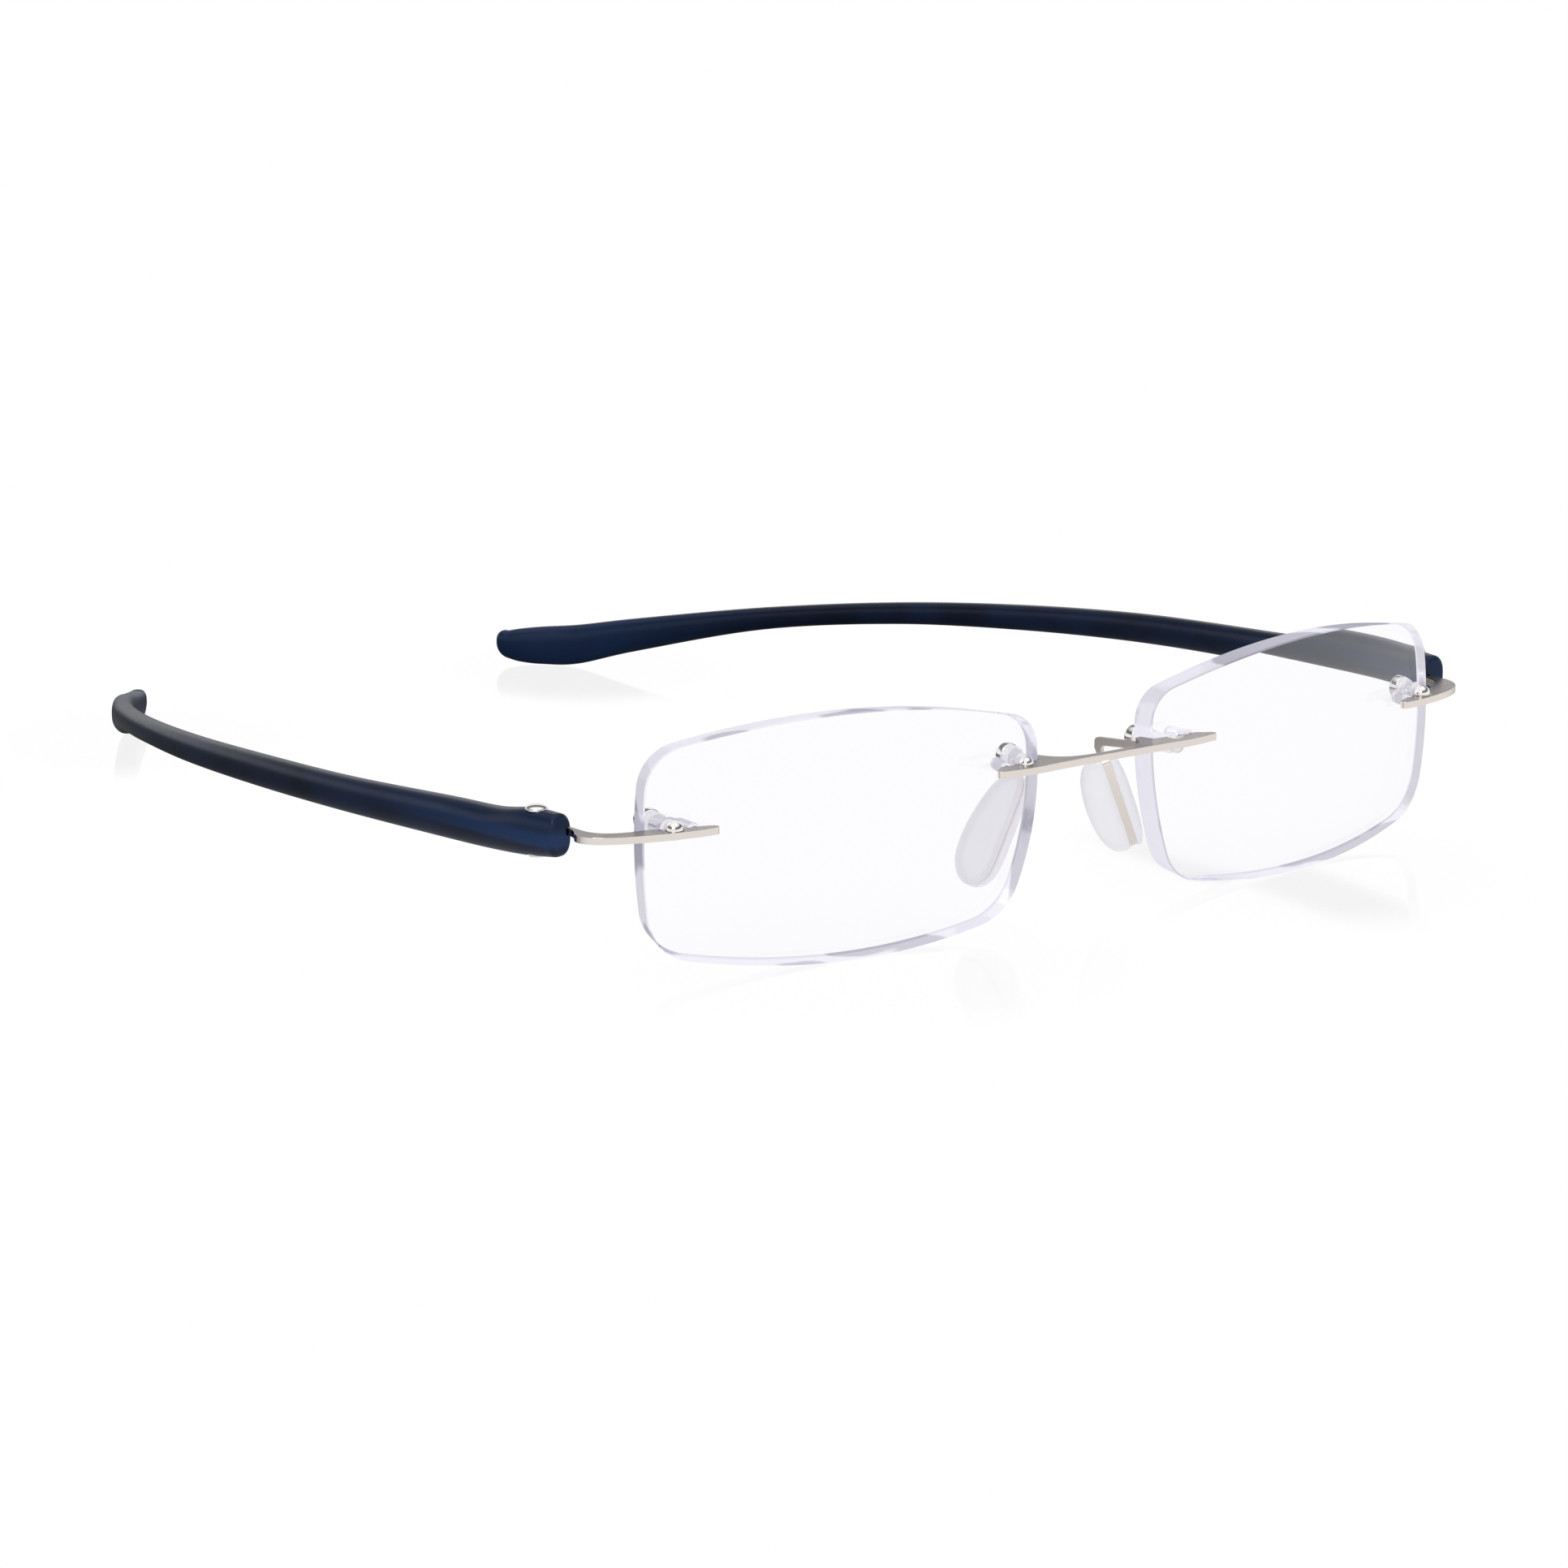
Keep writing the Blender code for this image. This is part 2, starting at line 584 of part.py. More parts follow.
def build_nose_pad(name, side, coll):
    """Soft pad: domed on both faces, with a groove that holds the ribbon."""
    groove = RIBBON_WIDTH / 2 + FIT * 2
    bed = pad_loop(-RIBBON_THICKNESS - 2 * FIT)
    lip = pad_loop(PAD_LIP)
    sections = [(pad_dome(scale), level) for scale, level in PAD_NOSE_DOME]
    sections += [(lip, -groove), (bed, -groove), (bed, groove), (lip, groove)]
    sections += [(pad_dome(scale), level) for scale, level in PAD_LENS_DOME]
    axes = pad_axes(side)
    rings = [[axes @ Vector((x, y, level)) for x, y in outline] for outline, level in sections]
    return loft(name, rings, coll)


# ---------------------------------------------------------------- temples and hinges
def temple_section(centre, heading, height, width, count=14, power=2.7):
    """Upright superellipse across the arm."""
    outward = Vector((math.cos(heading), math.sin(heading), 0))
    ring = []
    for i in range(count):
        a = 2 * math.pi * (i + 0.5) / count
        c, s = math.cos(a), math.sin(a)
        across = math.copysign(abs(c) ** (2 / power), c) * width / 2
        up = math.copysign(abs(s) ** (2 / power), s) * height / 2
        ring.append(centre + outward * across + Vector((0, 0, up)))
    return ring


def fade(value):
    """Smooth step from 0 to 1."""
    share = min(max(value, 0.0), 1.0)
    return share * share * (3 - 2 * share)


def own_shape(side, y, z, height):
    """Centre height and section height of this temple, with its lift in front and its trim behind."""
    lift = TEMPLE_LIFT[side] * fade((LIFT_ENDS_Y - y) / (LIFT_ENDS_Y - HINGE_Y))
    trim = TIP_TRIM[side] * fade((y - TRIM_STARTS_Y) / 8.0)
    return z + lift - trim / 4, height - trim


def temple_rings(side):
    """Sections along the arm, with rounded ends."""
    path = smooth_through([(x, y, z, h, w) for y, x, z, h, w in TEMPLE_STATIONS], 3)
    stations = []
    for i, (x, y, z, h, w) in enumerate(path):
        ahead, behind = path[min(i + 1, len(path) - 1)], path[max(i - 1, 0)]
        heading = math.atan2(behind[0] - ahead[0], ahead[1] - behind[1])
        z, h = own_shape(side, y, z, h)
        stations.append((Vector((x, y, z)), heading, h, w))
    rings = []
    for end, reach, keep, lift in TEMPLE_ENDS:
        centre, heading, h, w = stations[end]
        forward = Vector((-math.sin(heading), math.cos(heading), 0)) * (-1 if end == 0 else 1)
        caps = []
        for angle in (80, 60, 35):
            a = math.radians(angle)
            scale = keep + (1 - keep) * math.cos(a)
            rise = Vector((0, 0, lift * math.sin(a)))
            caps.append((centre + forward * reach * math.sin(a) + rise, heading, h * scale,
                         w * scale))
        rings.append(caps)
    ordered = rings[0] + stations + rings[1][::-1]
    result = []
    for centre, heading, h, w in ordered:
        ring = temple_section(centre, heading, h, w)
        result.append([Vector((side * p.x, p.y, p.z)) for p in ring])
    return result


def build_temple(name, side, coll):
    temple = loft(name, temple_rings(side), coll)
    # slot for the end plate, open to the front and to the inside, so that the plate can swing
    mouth = [(55.0, 5.0), (65.1, 5.0), (65.1, 11.6), (65.4, 12.3), (66.5, 13.4)]
    around = arc(HINGE_X, HINGE_Y, EYE_RADIUS + 2 * FIT, -15, 90, 8)
    outline = mirrored(mouth + around + [(55.0, HINGE_Y + EYE_RADIUS + 2 * FIT)], side)
    level = Matrix.Translation((0, 0, END_PLATE_Z))
    temple = combine(temple, sheet(name + "_slot", [outline], SLOT_HEIGHT, coll, level), "DIFFERENCE")
    place = Matrix.Translation((side * HINGE_X, HINGE_Y, 0))
    pocket = SHEET / 2 + 2 * FIT + WASHER_THICKNESS
    bores = ((RIVET_RADIUS + FIT, -10, 20),
             (WASHER_RADIUS + FIT, END_PLATE_Z - pocket, END_PLATE_Z + pocket),
             (RIVET_HEAD_RADIUS + 2 * FIT, RIVET_TOP_SEAT + TEMPLE_LIFT[side], 20),
             (RIVET_FOOT_RADIUS + 2 * FIT, -10, RIVET_FOOT_SEAT + TEMPLE_LIFT[side]))
    for radius, low, high in bores:
        bore = cylinder(name + "_bore", radius, low, high, coll, place)
        temple = combine(temple, bore, "DIFFERENCE")
    return temple


def build_rivet(name, side, coll):
    """Shank with a domed head on top of the temple and a low formed head under it."""
    top = RIVET_TOP_SEAT + TEMPLE_LIFT[side] + FIT
    bottom = RIVET_FOOT_SEAT + TEMPLE_LIFT[side] - FIT
    rim = 0.15
    rise = RIVET_HEAD_HEIGHT - rim
    dome = [(RIVET_HEAD_RADIUS * math.sin(a), top + rim + rise * math.cos(a))
            for a in (math.radians(18 * i) for i in range(6))]
    profile = dome + [(RIVET_HEAD_RADIUS, top), (RIVET_RADIUS, top), (RIVET_RADIUS, bottom),
                      (RIVET_FOOT_RADIUS, bottom), (RIVET_FOOT_RADIUS - rim, bottom - 2 * rim),
                      (0.0, bottom - 2 * rim)]
    place = Matrix.Translation((side * HINGE_X, HINGE_Y, 0))
    return turned(name, profile, coll, place, steps=24)


def build_washer(name, side, above, coll):
    base = END_PLATE_Z + above * (SHEET / 2 + FIT + WASHER_THICKNESS / 2)
    ring = [arc(0, 0, r, 0, 345, 24) for r in (WASHER_RADIUS, RIVET_RADIUS + FIT)]
    place = Matrix.Translation((side * HINGE_X, HINGE_Y, base))
    return sheet(name, ring, WASHER_THICKNESS, coll, place)


# ---------------------------------------------------------------- assembly
def finish(obj, material, smooth_angle=40.0):
    """Moves the origin, scales to metres, sets the material and shades round faces smooth."""
    obj.data.transform(Matrix.Scale(MM, 4) @ Matrix.Translation(-ORIGIN))
    obj.data.materials.clear()
    obj.data.materials.append(material)
    obj.data.shade_smooth()
    obj.data.set_sharp_from_angle(angle=math.radians(smooth_angle))
    return obj


def set_origin(obj, point):
    """Moves the object's origin to a point in metres without moving its shape."""
    obj.data.transform(Matrix.Translation(-Vector(point)))
    obj.location = point


def main():
    clear_scene()
    parts = new_collection("rimless_eyeglasses")
    clear = make_material("lens_clear", (0.97, 0.97, 0.99), 0.02, transmission=1.0, ior=1.56)
    metal = make_material("satin_nickel", (0.55, 0.51, 0.48), 0.30, metallic=1.0)
    chrome = make_material("polished_chrome", (0.80, 0.80, 0.82), 0.08, metallic=1.0)
    plastic = make_material("clear_plastic", (0.95, 0.95, 0.98), 0.08, transmission=0.95, ior=1.49)
    silicone = make_material("pad_silicone", (0.88, 0.87, 0.90), 0.45, transmission=0.6, ior=1.41)
    navy = make_material("navy_plastic", (0.010, 0.022, 0.065), 0.42)
    nylon = make_material("washer_nylon", (0.85, 0.85, 0.82), 0.5)

    finish(build_bridge("bridge_plate", parts), metal)
    for word, side in SIDES.items():
        finish(build_lens("lens_" + word, side, parts), clear, 20.0)
        finish(build_end_plate("end_plate_" + word, side, parts), metal)
        for place, fitting in zip(("temporal", "nasal"), fitting_places(side)):
            z, ball_z, ball, pin_u, peg_u = fitting
            tag = place + "_" + word
            finish(build_pin("pin_" + tag, side, pin_u, ball_z, ball, parts), chrome)
            finish(build_sleeve("sleeve_" + tag, side, pin_u, ball_z, parts), plastic)
            finish(build_cap("cap_" + tag, side, pin_u, ball_z, parts), chrome)
            finish(build_peg("peg_" + tag, side, peg_u, z, parts), plastic)
        finish(build_pad_arm("pad_arm_" + word, side, parts), metal)
        finish(build_nose_pad("nose_pad_" + word, side, parts), silicone)
        hinge = (Vector((side * HINGE_X, HINGE_Y, END_PLATE_Z)) - ORIGIN) * MM
        moving = [
            finish(build_temple("temple_" + word, side, parts), navy, 50.0),
            finish(build_rivet("hinge_rivet_" + word, side, parts), chrome),
            finish(build_washer("washer_upper_" + word, side, 1, parts), nylon),
            finish(build_washer("washer_lower_" + word, side, -1, parts), nylon),
        ]
        for obj in moving:
            set_origin(obj, hinge)


main()
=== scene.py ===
"""Looks of the rimless eyeglasses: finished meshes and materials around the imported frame.

Shapes are built in millimetres in the design frame: X towards the wearer's left, Y towards the
ears, Z up, measured from the plane of the lens vertices. place() turns them into row-frame metres.
"""

import math

import bmesh
import bpy
from mathutils import Matrix, Vector


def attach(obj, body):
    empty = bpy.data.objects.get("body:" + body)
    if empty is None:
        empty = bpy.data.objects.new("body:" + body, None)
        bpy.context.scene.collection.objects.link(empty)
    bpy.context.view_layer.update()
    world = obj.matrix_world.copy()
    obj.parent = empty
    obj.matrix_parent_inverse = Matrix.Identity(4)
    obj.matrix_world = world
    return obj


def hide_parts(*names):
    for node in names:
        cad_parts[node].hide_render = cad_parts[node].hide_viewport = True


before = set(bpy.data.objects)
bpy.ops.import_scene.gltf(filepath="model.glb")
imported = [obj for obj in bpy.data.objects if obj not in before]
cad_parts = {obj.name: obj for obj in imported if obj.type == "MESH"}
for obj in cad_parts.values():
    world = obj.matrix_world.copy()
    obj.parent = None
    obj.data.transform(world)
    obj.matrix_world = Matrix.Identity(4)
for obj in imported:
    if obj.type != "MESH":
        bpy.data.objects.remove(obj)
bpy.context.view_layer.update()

MM = 0.001
SIDES = {"left": 1, "right": -1}
# play between pieces, thickness of the plates, and distance under which two vertices are one
FIT = 0.05
SHEET = 0.80
SAME_SPOT = 1e-4

LENS_CENTRE_X = 34.2
LENS_WRAP = 7.5
LENS_TILT = 0.5
LENS_FRONT_RADIUS = 113.0
LENS_REAR_RADIUS = 171.0
LENS_CENTRE_THICKNESS = 4.5
# corners as (u, v, rounding), and how far the side after each corner bows out
LENS_CORNERS = [(-21.3, -12.0, 3.6), (24.1, -10.9, 4.2), (24.6, 11.4, 4.0), (-25.2, 10.1, 3.2)]
LENS_BULGES = [2.55, 1.10, 3.20, 1.75]
LENS_EDGE_BREAK = 0.16
# rings of each face, as shares of the distance from its middle to its edge
LENS_RINGS = [0.06, 0.15, 0.27, 0.40, 0.53, 0.66, 0.78, 0.88, 0.95, 1.0]
# ends of the lens drills, behind and in front of the lens
LENS_DRILL = (-15.0, 5.0)

END_PLATE_Z = 3.05
BRIDGE_Z = 5.05
# distance of pins and pegs from the lens middle, and height of the pins on each side
TEMPORAL_PIN_U, TEMPORAL_PEG_U = 22.4, 19.85
NASAL_PIN_U, NASAL_PEG_U = -22.9, -20.35
TEMPORAL_PIN_Z = {1: 3.50, -1: 3.30}
NASAL_PIN_Z = {1: 4.40, -1: 5.35}

TEMPORAL_BALL_RADIUS = 1.12
NASAL_BALL_RADIUS = 0.90
BALL_SEAT = 0.85
BALL_ROOM = 0.12
# extra room round a ball where it sinks into the lens
BALL_BED = 0.15
COUNTERBORE_DEPTH = 0.45
SHANK_RADIUS = 0.55
SHANK_CHAMFER = 0.10
SLEEVE_RADIUS = 1.00
FLANGE_ACROSS_CORNERS = 2.90
FLANGE_THICKNESS = 0.60
CAP_RADIUS = 1.40
CAP_LENGTH = 1.40
CAP_LIP = 0.20
CAP_DOME = 0.45
# shares of the cap's length that the bore and the shank reach into
CAP_BORE = 0.7
SHANK_IN_CAP = 0.6
PEG_RADIUS = 0.68
PEG_PROUD = 0.35
PEG_EDGE = 0.15
PRONG_WIDTH = 0.50
PRONG_LENGTH = 1.20
STRIP_TIP_RADIUS = 0.55

PLATE_EDGE_BREAK = 0.07
RIBBON_EDGE_BREAK = 0.05
FLANGE_EDGE_BREAK = 0.12

HINGE_X, HINGE_Y = 66.3, 15.6
EYE_RADIUS = 1.20
RIVET_RADIUS = 0.60
RIVET_HEAD_RADIUS = 1.25
RIVET_HEAD_HEIGHT = 0.60
RIVET_RIM = 0.15
RIVET_EDGE = 0.04
RIVET_TOP_SEAT = 4.95
RIVET_FOOT_SEAT = 0.25
RIVET_FOOT_RADIUS = 1.00
WASHER_RADIUS = 1.10
WASHER_THICKNESS = 0.25
# hinge slot: how far in it starts, and how far ahead of the block it opens
SLOT_INNER_X, SLOT_FRONT_Y = 55.0, 5.0
# ends of the hinge drills, below and above the temple
HINGE_DRILL = (-10.0, 20.0)

RIBBON_WIDTH = 0.85
RIBBON_THICKNESS = 0.50
PAD_ARM_X = 7.88
PAD_ARM_TOP = (4.85, 4.25)
PAD_ARM_BACK_Y = 8.40
PAD_ARM_FRONT_Y = 1.0
PAD_ARM_FOOT_Z = 2.05
PAD_LEG = 1.15
PAD_ELBOW = 0.6
PAD_LOOP_FOOT = Vector((11.6, 6.15, -7.7))
PAD_UP = Vector((-0.434, -0.056, 0.899)).normalized()
PAD_SPLAY = 30.0
PAD_LIP = 0.25
PAD_MIDDLE = (2.0, 4.3)
# each face of the pad: level where its dome starts, level of its crown, roundness
PAD_FACES = [(0.9, 3.75, 2.4), (0.7, 1.90, 2.2)]
PAD_RINGS = 15

# end plates by side: inside of the corner, from the lens edge back to the hinge eye
CORNER_INSIDE = {
    1: [(60.5, 6.9), (62.0, 7.7), (62.9, 9.0), (63.3, 10.4), (63.9, 12.2), (64.8, 14.2)],
    -1: [(60.6, 6.2), (62.4, 6.9), (63.6, 7.9), (64.2, 9.2), (64.3, 10.6), (64.3, 12.1),
         (64.7, 14.0)],
}
# and its outside, from the eye forward to the strip along the lens
CORNER_OUTSIDE = {
    1: [(66.3, 13.4), (65.2, 12.4), (64.95, 11.3), (65.0, 10.0), (64.9, 8.6), (64.4, 7.1),
        (63.4, 5.7), (61.9, 4.6), (59.9, 3.7), (57.0, 2.9), (54.0, 2.3)],
    -1: [(66.3, 13.4), (65.2, 12.4), (64.95, 11.3), (65.3, 10.2), (66.0, 9.1), (66.1, 7.8),
         (65.2, 6.4), (63.8, 5.4), (62.3, 4.6), (60.1, 3.8), (57.0, 2.9), (54.0, 2.3)],
}

# the left temple rides a little higher than the right one near its hinge
TEMPLE_LIFT = {1: 0.55, -1: 0.0}
LIFT_ENDS_Y = 46.0
# the right tip is a little slimmer than the left one
TIP_TRIM = {1: 0.0, -1: 0.8}
TRIM_STARTS_Y = 145.0
TRIM_RUN = 8.0
# temple sections: distance back (y), x, z of the centre, height, width
TEMPLE_STATIONS = [
    (12.4, 65.9, 2.72, 4.8, 3.2),
    (16.5, 66.4, 2.48, 5.2, 3.8),
    (22.0, 66.9, 1.95, 4.7, 3.7),
    (30.0, 67.6, 1.75, 4.6, 3.4),
    (49.0, 68.4, 1.05, 4.0, 3.0),
    (68.0, 67.4, 0.20, 3.7, 2.9),
    (87.5, 64.2, -1.15, 3.3, 2.8),
    (106.0, 58.8, -2.85, 2.9, 2.7),
    (124.0, 50.8, -5.40, 3.0, 2.7),
    (140.0, 41.3, -9.00, 4.5, 2.9),
    (147.0, 36.4, -10.85, 5.4, 3.0),
    (151.0, 33.2, -11.25, 5.2, 2.9),
    (153.4, 31.2, -11.35, 4.6, 2.8),
    (154.8, 30.0, -11.30, 3.8, 2.5),
]
# rounded ends: station, reach beyond it, flat share of the section, rise towards the tip
TEMPLE_ENDS = [(0, 0.7, 0.74, 0.0), (-1, 1.6, 0.15, 0.4)]
# angles of the sections that round an end, from its outermost one inwards
END_ANGLES = (89, 84, 78, 70, 60, 50, 40, 30, 20, 10)

ORIGIN = Vector((0.0, -2.85, BRIDGE_Z + SHEET / 2))
FLOOR_Z = -13.98
FLOOR_SIZE = 12.0

# row-frame metres from here on: where a painted blue sheen lies on the navy plastic, as (from, to)
PAINTED_SHEEN_BLOCK_Y = (0.018, 0.050)
PAINTED_SHEEN_BAND_FOOT_Z = (-0.0043, -0.0036)
PAINTED_SHEEN_BAND_HEAD_Z = (-0.0028, -0.0019)
PAINTED_SHEEN_TIP_Y = (0.120, 0.150)
# what rests on the floor at each side of the middle: distance out, distance back, reach of sheen
FLOOR_CONTACTS = [(0.034, 0.004, 0.034), (0.036, 0.148, 0.026)]
FLOOR_SHEEN = 0.12
# the floor's light in reflections falls from the first strength to the second over this run
FLOOR_DIMS_Y = (-0.02, 0.12)
FLOOR_LIGHT = (0.92, 0.12)

KEY_AT = (-0.9, -0.7, 0.9)
KEY_AIM = (0.0, 0.05, 0.0)
KEY_SIZE = (0.7, 0.5)
KEY_POWER = 6.0

CAMERA_AT = (-0.41016, -0.45618, 0.13740)
CAMERA_TURN = (77.0192, -0.0889, -38.5110)
CAMERA_LENS = 128.14
CAMERA_SENSOR = 36.0


# ---------------------------------------------------------------- shader helpers
class Tree:
    """Short calls for building a node tree."""

    def __init__(self, owner):
        owner.use_nodes = True
        self.tree = owner.node_tree
        self.tree.nodes.clear()

    def node(self, kind, settings=None, **inputs):
        made = self.tree.nodes.new(kind)
        for key, value in (settings or {}).items():
            setattr(made, key, value)
        for key, value in inputs.items():
            self.feed(made, key.replace("_", " "), value)
        return made

    def feed(self, node, name, value):
        socket = node.inputs[int(name)] if name.isdigit() else node.inputs[name]
        if isinstance(value, bpy.types.NodeSocket):
            self.tree.links.new(value, socket)
        else:
            socket.default_value = value

    def math(self, operation, a, b=0.0, c=0.0):
        made = self.tree.nodes.new("ShaderNodeMath")
        made.operation = operation
        for i, value in enumerate((a, b, c)):
            self.feed(made, str(i), value)
        return made.outputs[0]

    def mix(self, factor, a, b):
        made = self.tree.nodes.new("ShaderNodeMix")
        made.data_type = "RGBA"
        self.feed(made, "0", factor)
        self.feed(made, "6", a)
        self.feed(made, "7", b)
        return made.outputs[2]

    def spread(self, value, low, high, to_low=0.0, to_high=1.0):
        """Smooth remap of a value from one range to another."""
        made = self.tree.nodes.new("ShaderNodeMapRange")
        made.interpolation_type = "SMOOTHSTEP"
        for i, item in enumerate((value, low, high, to_low, to_high)):
            self.feed(made, str(i), item)
        return made.outputs[0]

    def noise(self, scale, detail=3.0, stretch=None, rough=0.5):
        """Noise on the object's own coordinates, scale in features per metre."""
        where = self.node("ShaderNodeTexCoord").outputs["Object"]
        if stretch:
            where = self.node("ShaderNodeMapping", Vector=where, Scale=stretch).outputs[0]
        made = self.node("ShaderNodeTexNoise", Vector=where, Scale=scale, Detail=detail,
                         Roughness=rough)
        return made.outputs["Fac"]

    def bump(self, height, strength, distance):
        made = self.node("ShaderNodeBump", Height=height, Strength=strength, Distance=distance)
        return made.outputs[0]

    def glow(self, tone, strength=1.0):
        return self.node("ShaderNodeEmission", Color=tone, Strength=strength).outputs[0]

    def blend(self, share, first, second):
        """Mix of two shaders, with the share that the second one takes."""
        made = self.node("ShaderNodeMixShader", Fac=share)
        self.feed(made, "1", first)
        self.feed(made, "2", second)
        return made.outputs[0]

    def finish(self, shader, volume=None):
        out = self.node("ShaderNodeOutputMaterial", Surface=shader)
        if volume is not None:
            self.feed(out, "Volume", volume)


def new_material(name):
    """A material and the empty node tree that describes it."""
    mat = bpy.data.materials.new(name)
    return mat, Tree(mat)


def colour(r, g, b):
    return (r, g, b, 1.0)


WHITE = colour(1.0, 1.0, 1.0)


def lens_material():
    """Clear polished lens faces with a faint lavender body."""
    mat, t = new_material("lens_clear_scene")
    rough = t.spread(t.noise(900.0, 4.0), 0.35, 0.75, 0.0, 0.008)
    glass = t.node("ShaderNodeBsdfPrincipled", Base_Color=colour(0.985, 0.98, 1.0),
                   Roughness=rough, IOR=1.54, Transmission_Weight=1.0)
    tint = t.node("ShaderNodeVolumeAbsorption", Color=colour(0.80, 0.79, 0.90), Density=3.0)
    t.finish(glass.outputs[0], tint.outputs[0])
    return mat


def lens_rim_material():
    """Ground and polished rim, drawn mostly as a painted glow: frosty white with a lavender cast,
    and soft darker stretches of painted internal reflection.
    """
    mat, t = new_material("lens_rim_painted_glow_scene")
    painted_reflection_bars = t.spread(t.noise(75.0, 1.0), 0.56, 0.60)
    rough = t.spread(t.noise(900.0, 4.0), 0.35, 0.75, 0.06, 0.16)
    glass = t.node("ShaderNodeBsdfPrincipled", Base_Color=colour(0.95, 0.945, 0.98),
                   Roughness=rough, IOR=1.56, Transmission_Weight=1.0)
    # painted glow standing in for light carried inside the glass, its tone in bars of pale and dark
    # painted reflection
    tone = t.mix(painted_reflection_bars, colour(0.86, 0.85, 0.94), colour(0.46, 0.45, 0.54))
    t.finish(t.blend(0.72, glass.outputs[0], t.glow(tone)))
    return mat


def satin_metal_material():
    """Brushed flats and brighter polished walls in a warm taupe grey, with painted shade that
    darkens the faces that look up.
    """
    mat, t = new_material("satin_nickel_painted_shade_scene")
    grain = t.noise(1500.0, 4.0, (0.12, 1.0, 1.0), 0.6)
    up = t.node("ShaderNodeSeparateXYZ",
                Vector=t.node("ShaderNodeNewGeometry").outputs["True Normal"]).outputs["Z"]
    # painted shade: faces that look up are drawn darker than the walls; the same share also makes
    # them rougher
    flat = t.spread(up, 0.80, 0.97)
    base = t.mix(flat, colour(0.80, 0.74, 0.69), colour(0.34, 0.305, 0.295))
    rough = t.spread(grain, 0.3, 0.7, 0.13, 0.18)
    rough = t.math("ADD", rough, t.math("MULTIPLY", flat, 0.18))
    normal = t.bump(grain, 0.03, 0.000005)
    metal = t.node("ShaderNodeBsdfPrincipled", Base_Color=base, Metallic=1.0, Roughness=rough,
                   Normal=normal)
    t.finish(metal.outputs[0])
    return mat


def chrome_material():
    """Polished metal of pins, caps and rivets, with faint smears."""
    mat, t = new_material("polished_chrome_scene")
    smear = t.noise(700.0, 4.0)
    rough = t.spread(smear, 0.35, 0.7, 0.04, 0.10)
    metal = t.node("ShaderNodeBsdfPrincipled", Base_Color=colour(0.86, 0.84, 0.82), Metallic=1.0,
                   Roughness=rough)
    t.finish(metal.outputs[0])
    return mat


def clear_plastic_material():
    """Clear moulded plastic of sleeves and pegs, made a little milky by a painted pale glow."""
    mat, t = new_material("clear_plastic_painted_glow_scene")
    flow = t.noise(500.0, 3.0)
    rough = t.spread(flow, 0.3, 0.7, 0.02, 0.07)
    clear = t.node("ShaderNodeBsdfPrincipled", Base_Color=colour(0.97, 0.965, 0.985),
                   Roughness=rough, IOR=1.36, Transmission_Weight=1.0)
    # painted glow: a share of pale emission mixed into the clear plastic
    t.finish(t.blend(0.35, clear.outputs[0], t.glow(colour(0.86, 0.85, 0.91))))
    return mat


def silicone_material():
    """Milky silicone: pale, a little see-through, with a fine matt skin and a painted pale glow."""
    mat, t = new_material("pad_silicone_painted_glow_scene")
    haze = t.noise(500.0, 3.0)
    base = t.mix(haze, colour(0.93, 0.925, 0.95), colour(0.98, 0.975, 0.99))
    rough = t.spread(haze, 0.3, 0.7, 0.38, 0.46)
    skin = t.node("ShaderNodeBsdfPrincipled", Base_Color=base, Roughness=rough, IOR=1.25,
                  Transmission_Weight=0.6)
    # painted glow: a share of pale emission mixed into the silicone
    t.finish(t.blend(0.36, skin.outputs[0], t.glow(colour(0.82, 0.81, 0.86))))
    return mat


def navy_material():
    """Moulded nylon: near-black blue with a soft sheen, a painted blue sheen on the hinge block and
    tip, fine texture and a few pale specks.
    """
    mat, t = new_material("navy_plastic_painted_sheen_scene")
    cloud = t.noise(120.0, 3.0)
    fine = t.noise(5200.0, 4.0, None, 0.65)
    speck = t.spread(t.noise(3300.0, 1.0), 0.76, 0.80)
    deep = t.mix(t.spread(cloud, 0.35, 0.7), colour(0.0020, 0.0050, 0.015),
                 colour(0.0035, 0.0115, 0.036))
    # painted blue sheen in the base colour: a band round the hinge block and a blue tip
    where = t.node("ShaderNodeSeparateXYZ", Vector=t.node("ShaderNodeTexCoord").outputs["Object"])
    y, z = where.outputs["Y"], where.outputs["Z"]
    block = t.spread(y, *PAINTED_SHEEN_BLOCK_Y, 1.0, 0.0)
    band = t.math("MULTIPLY", t.spread(z, *PAINTED_SHEEN_BAND_FOOT_Z),
                  t.spread(z, *PAINTED_SHEEN_BAND_HEAD_Z, 1.0, 0.30))
    tip = t.spread(y, *PAINTED_SHEEN_TIP_Y, 0.0, 0.6)
    blue = t.math("MAXIMUM", t.math("MULTIPLY", block, band), tip)
    deep = t.mix(blue, deep, colour(0.006, 0.024, 0.080))
    base = t.mix(t.math("MULTIPLY", speck, 0.3), deep, colour(0.04, 0.06, 0.11))
    rough = t.spread(fine, 0.3, 0.75, 0.30, 0.42)
    plastic = t.node("ShaderNodeBsdfPrincipled", Base_Color=base, Roughness=rough, IOR=1.45,
                     Normal=t.bump(fine, 0.12, 0.00002))
    t.feed(plastic, "Specular IOR Level", 0.34)
    t.feed(plastic, "Specular Tint", colour(0.70, 0.74, 1.0))
    t.finish(plastic.outputs[0])
    return mat


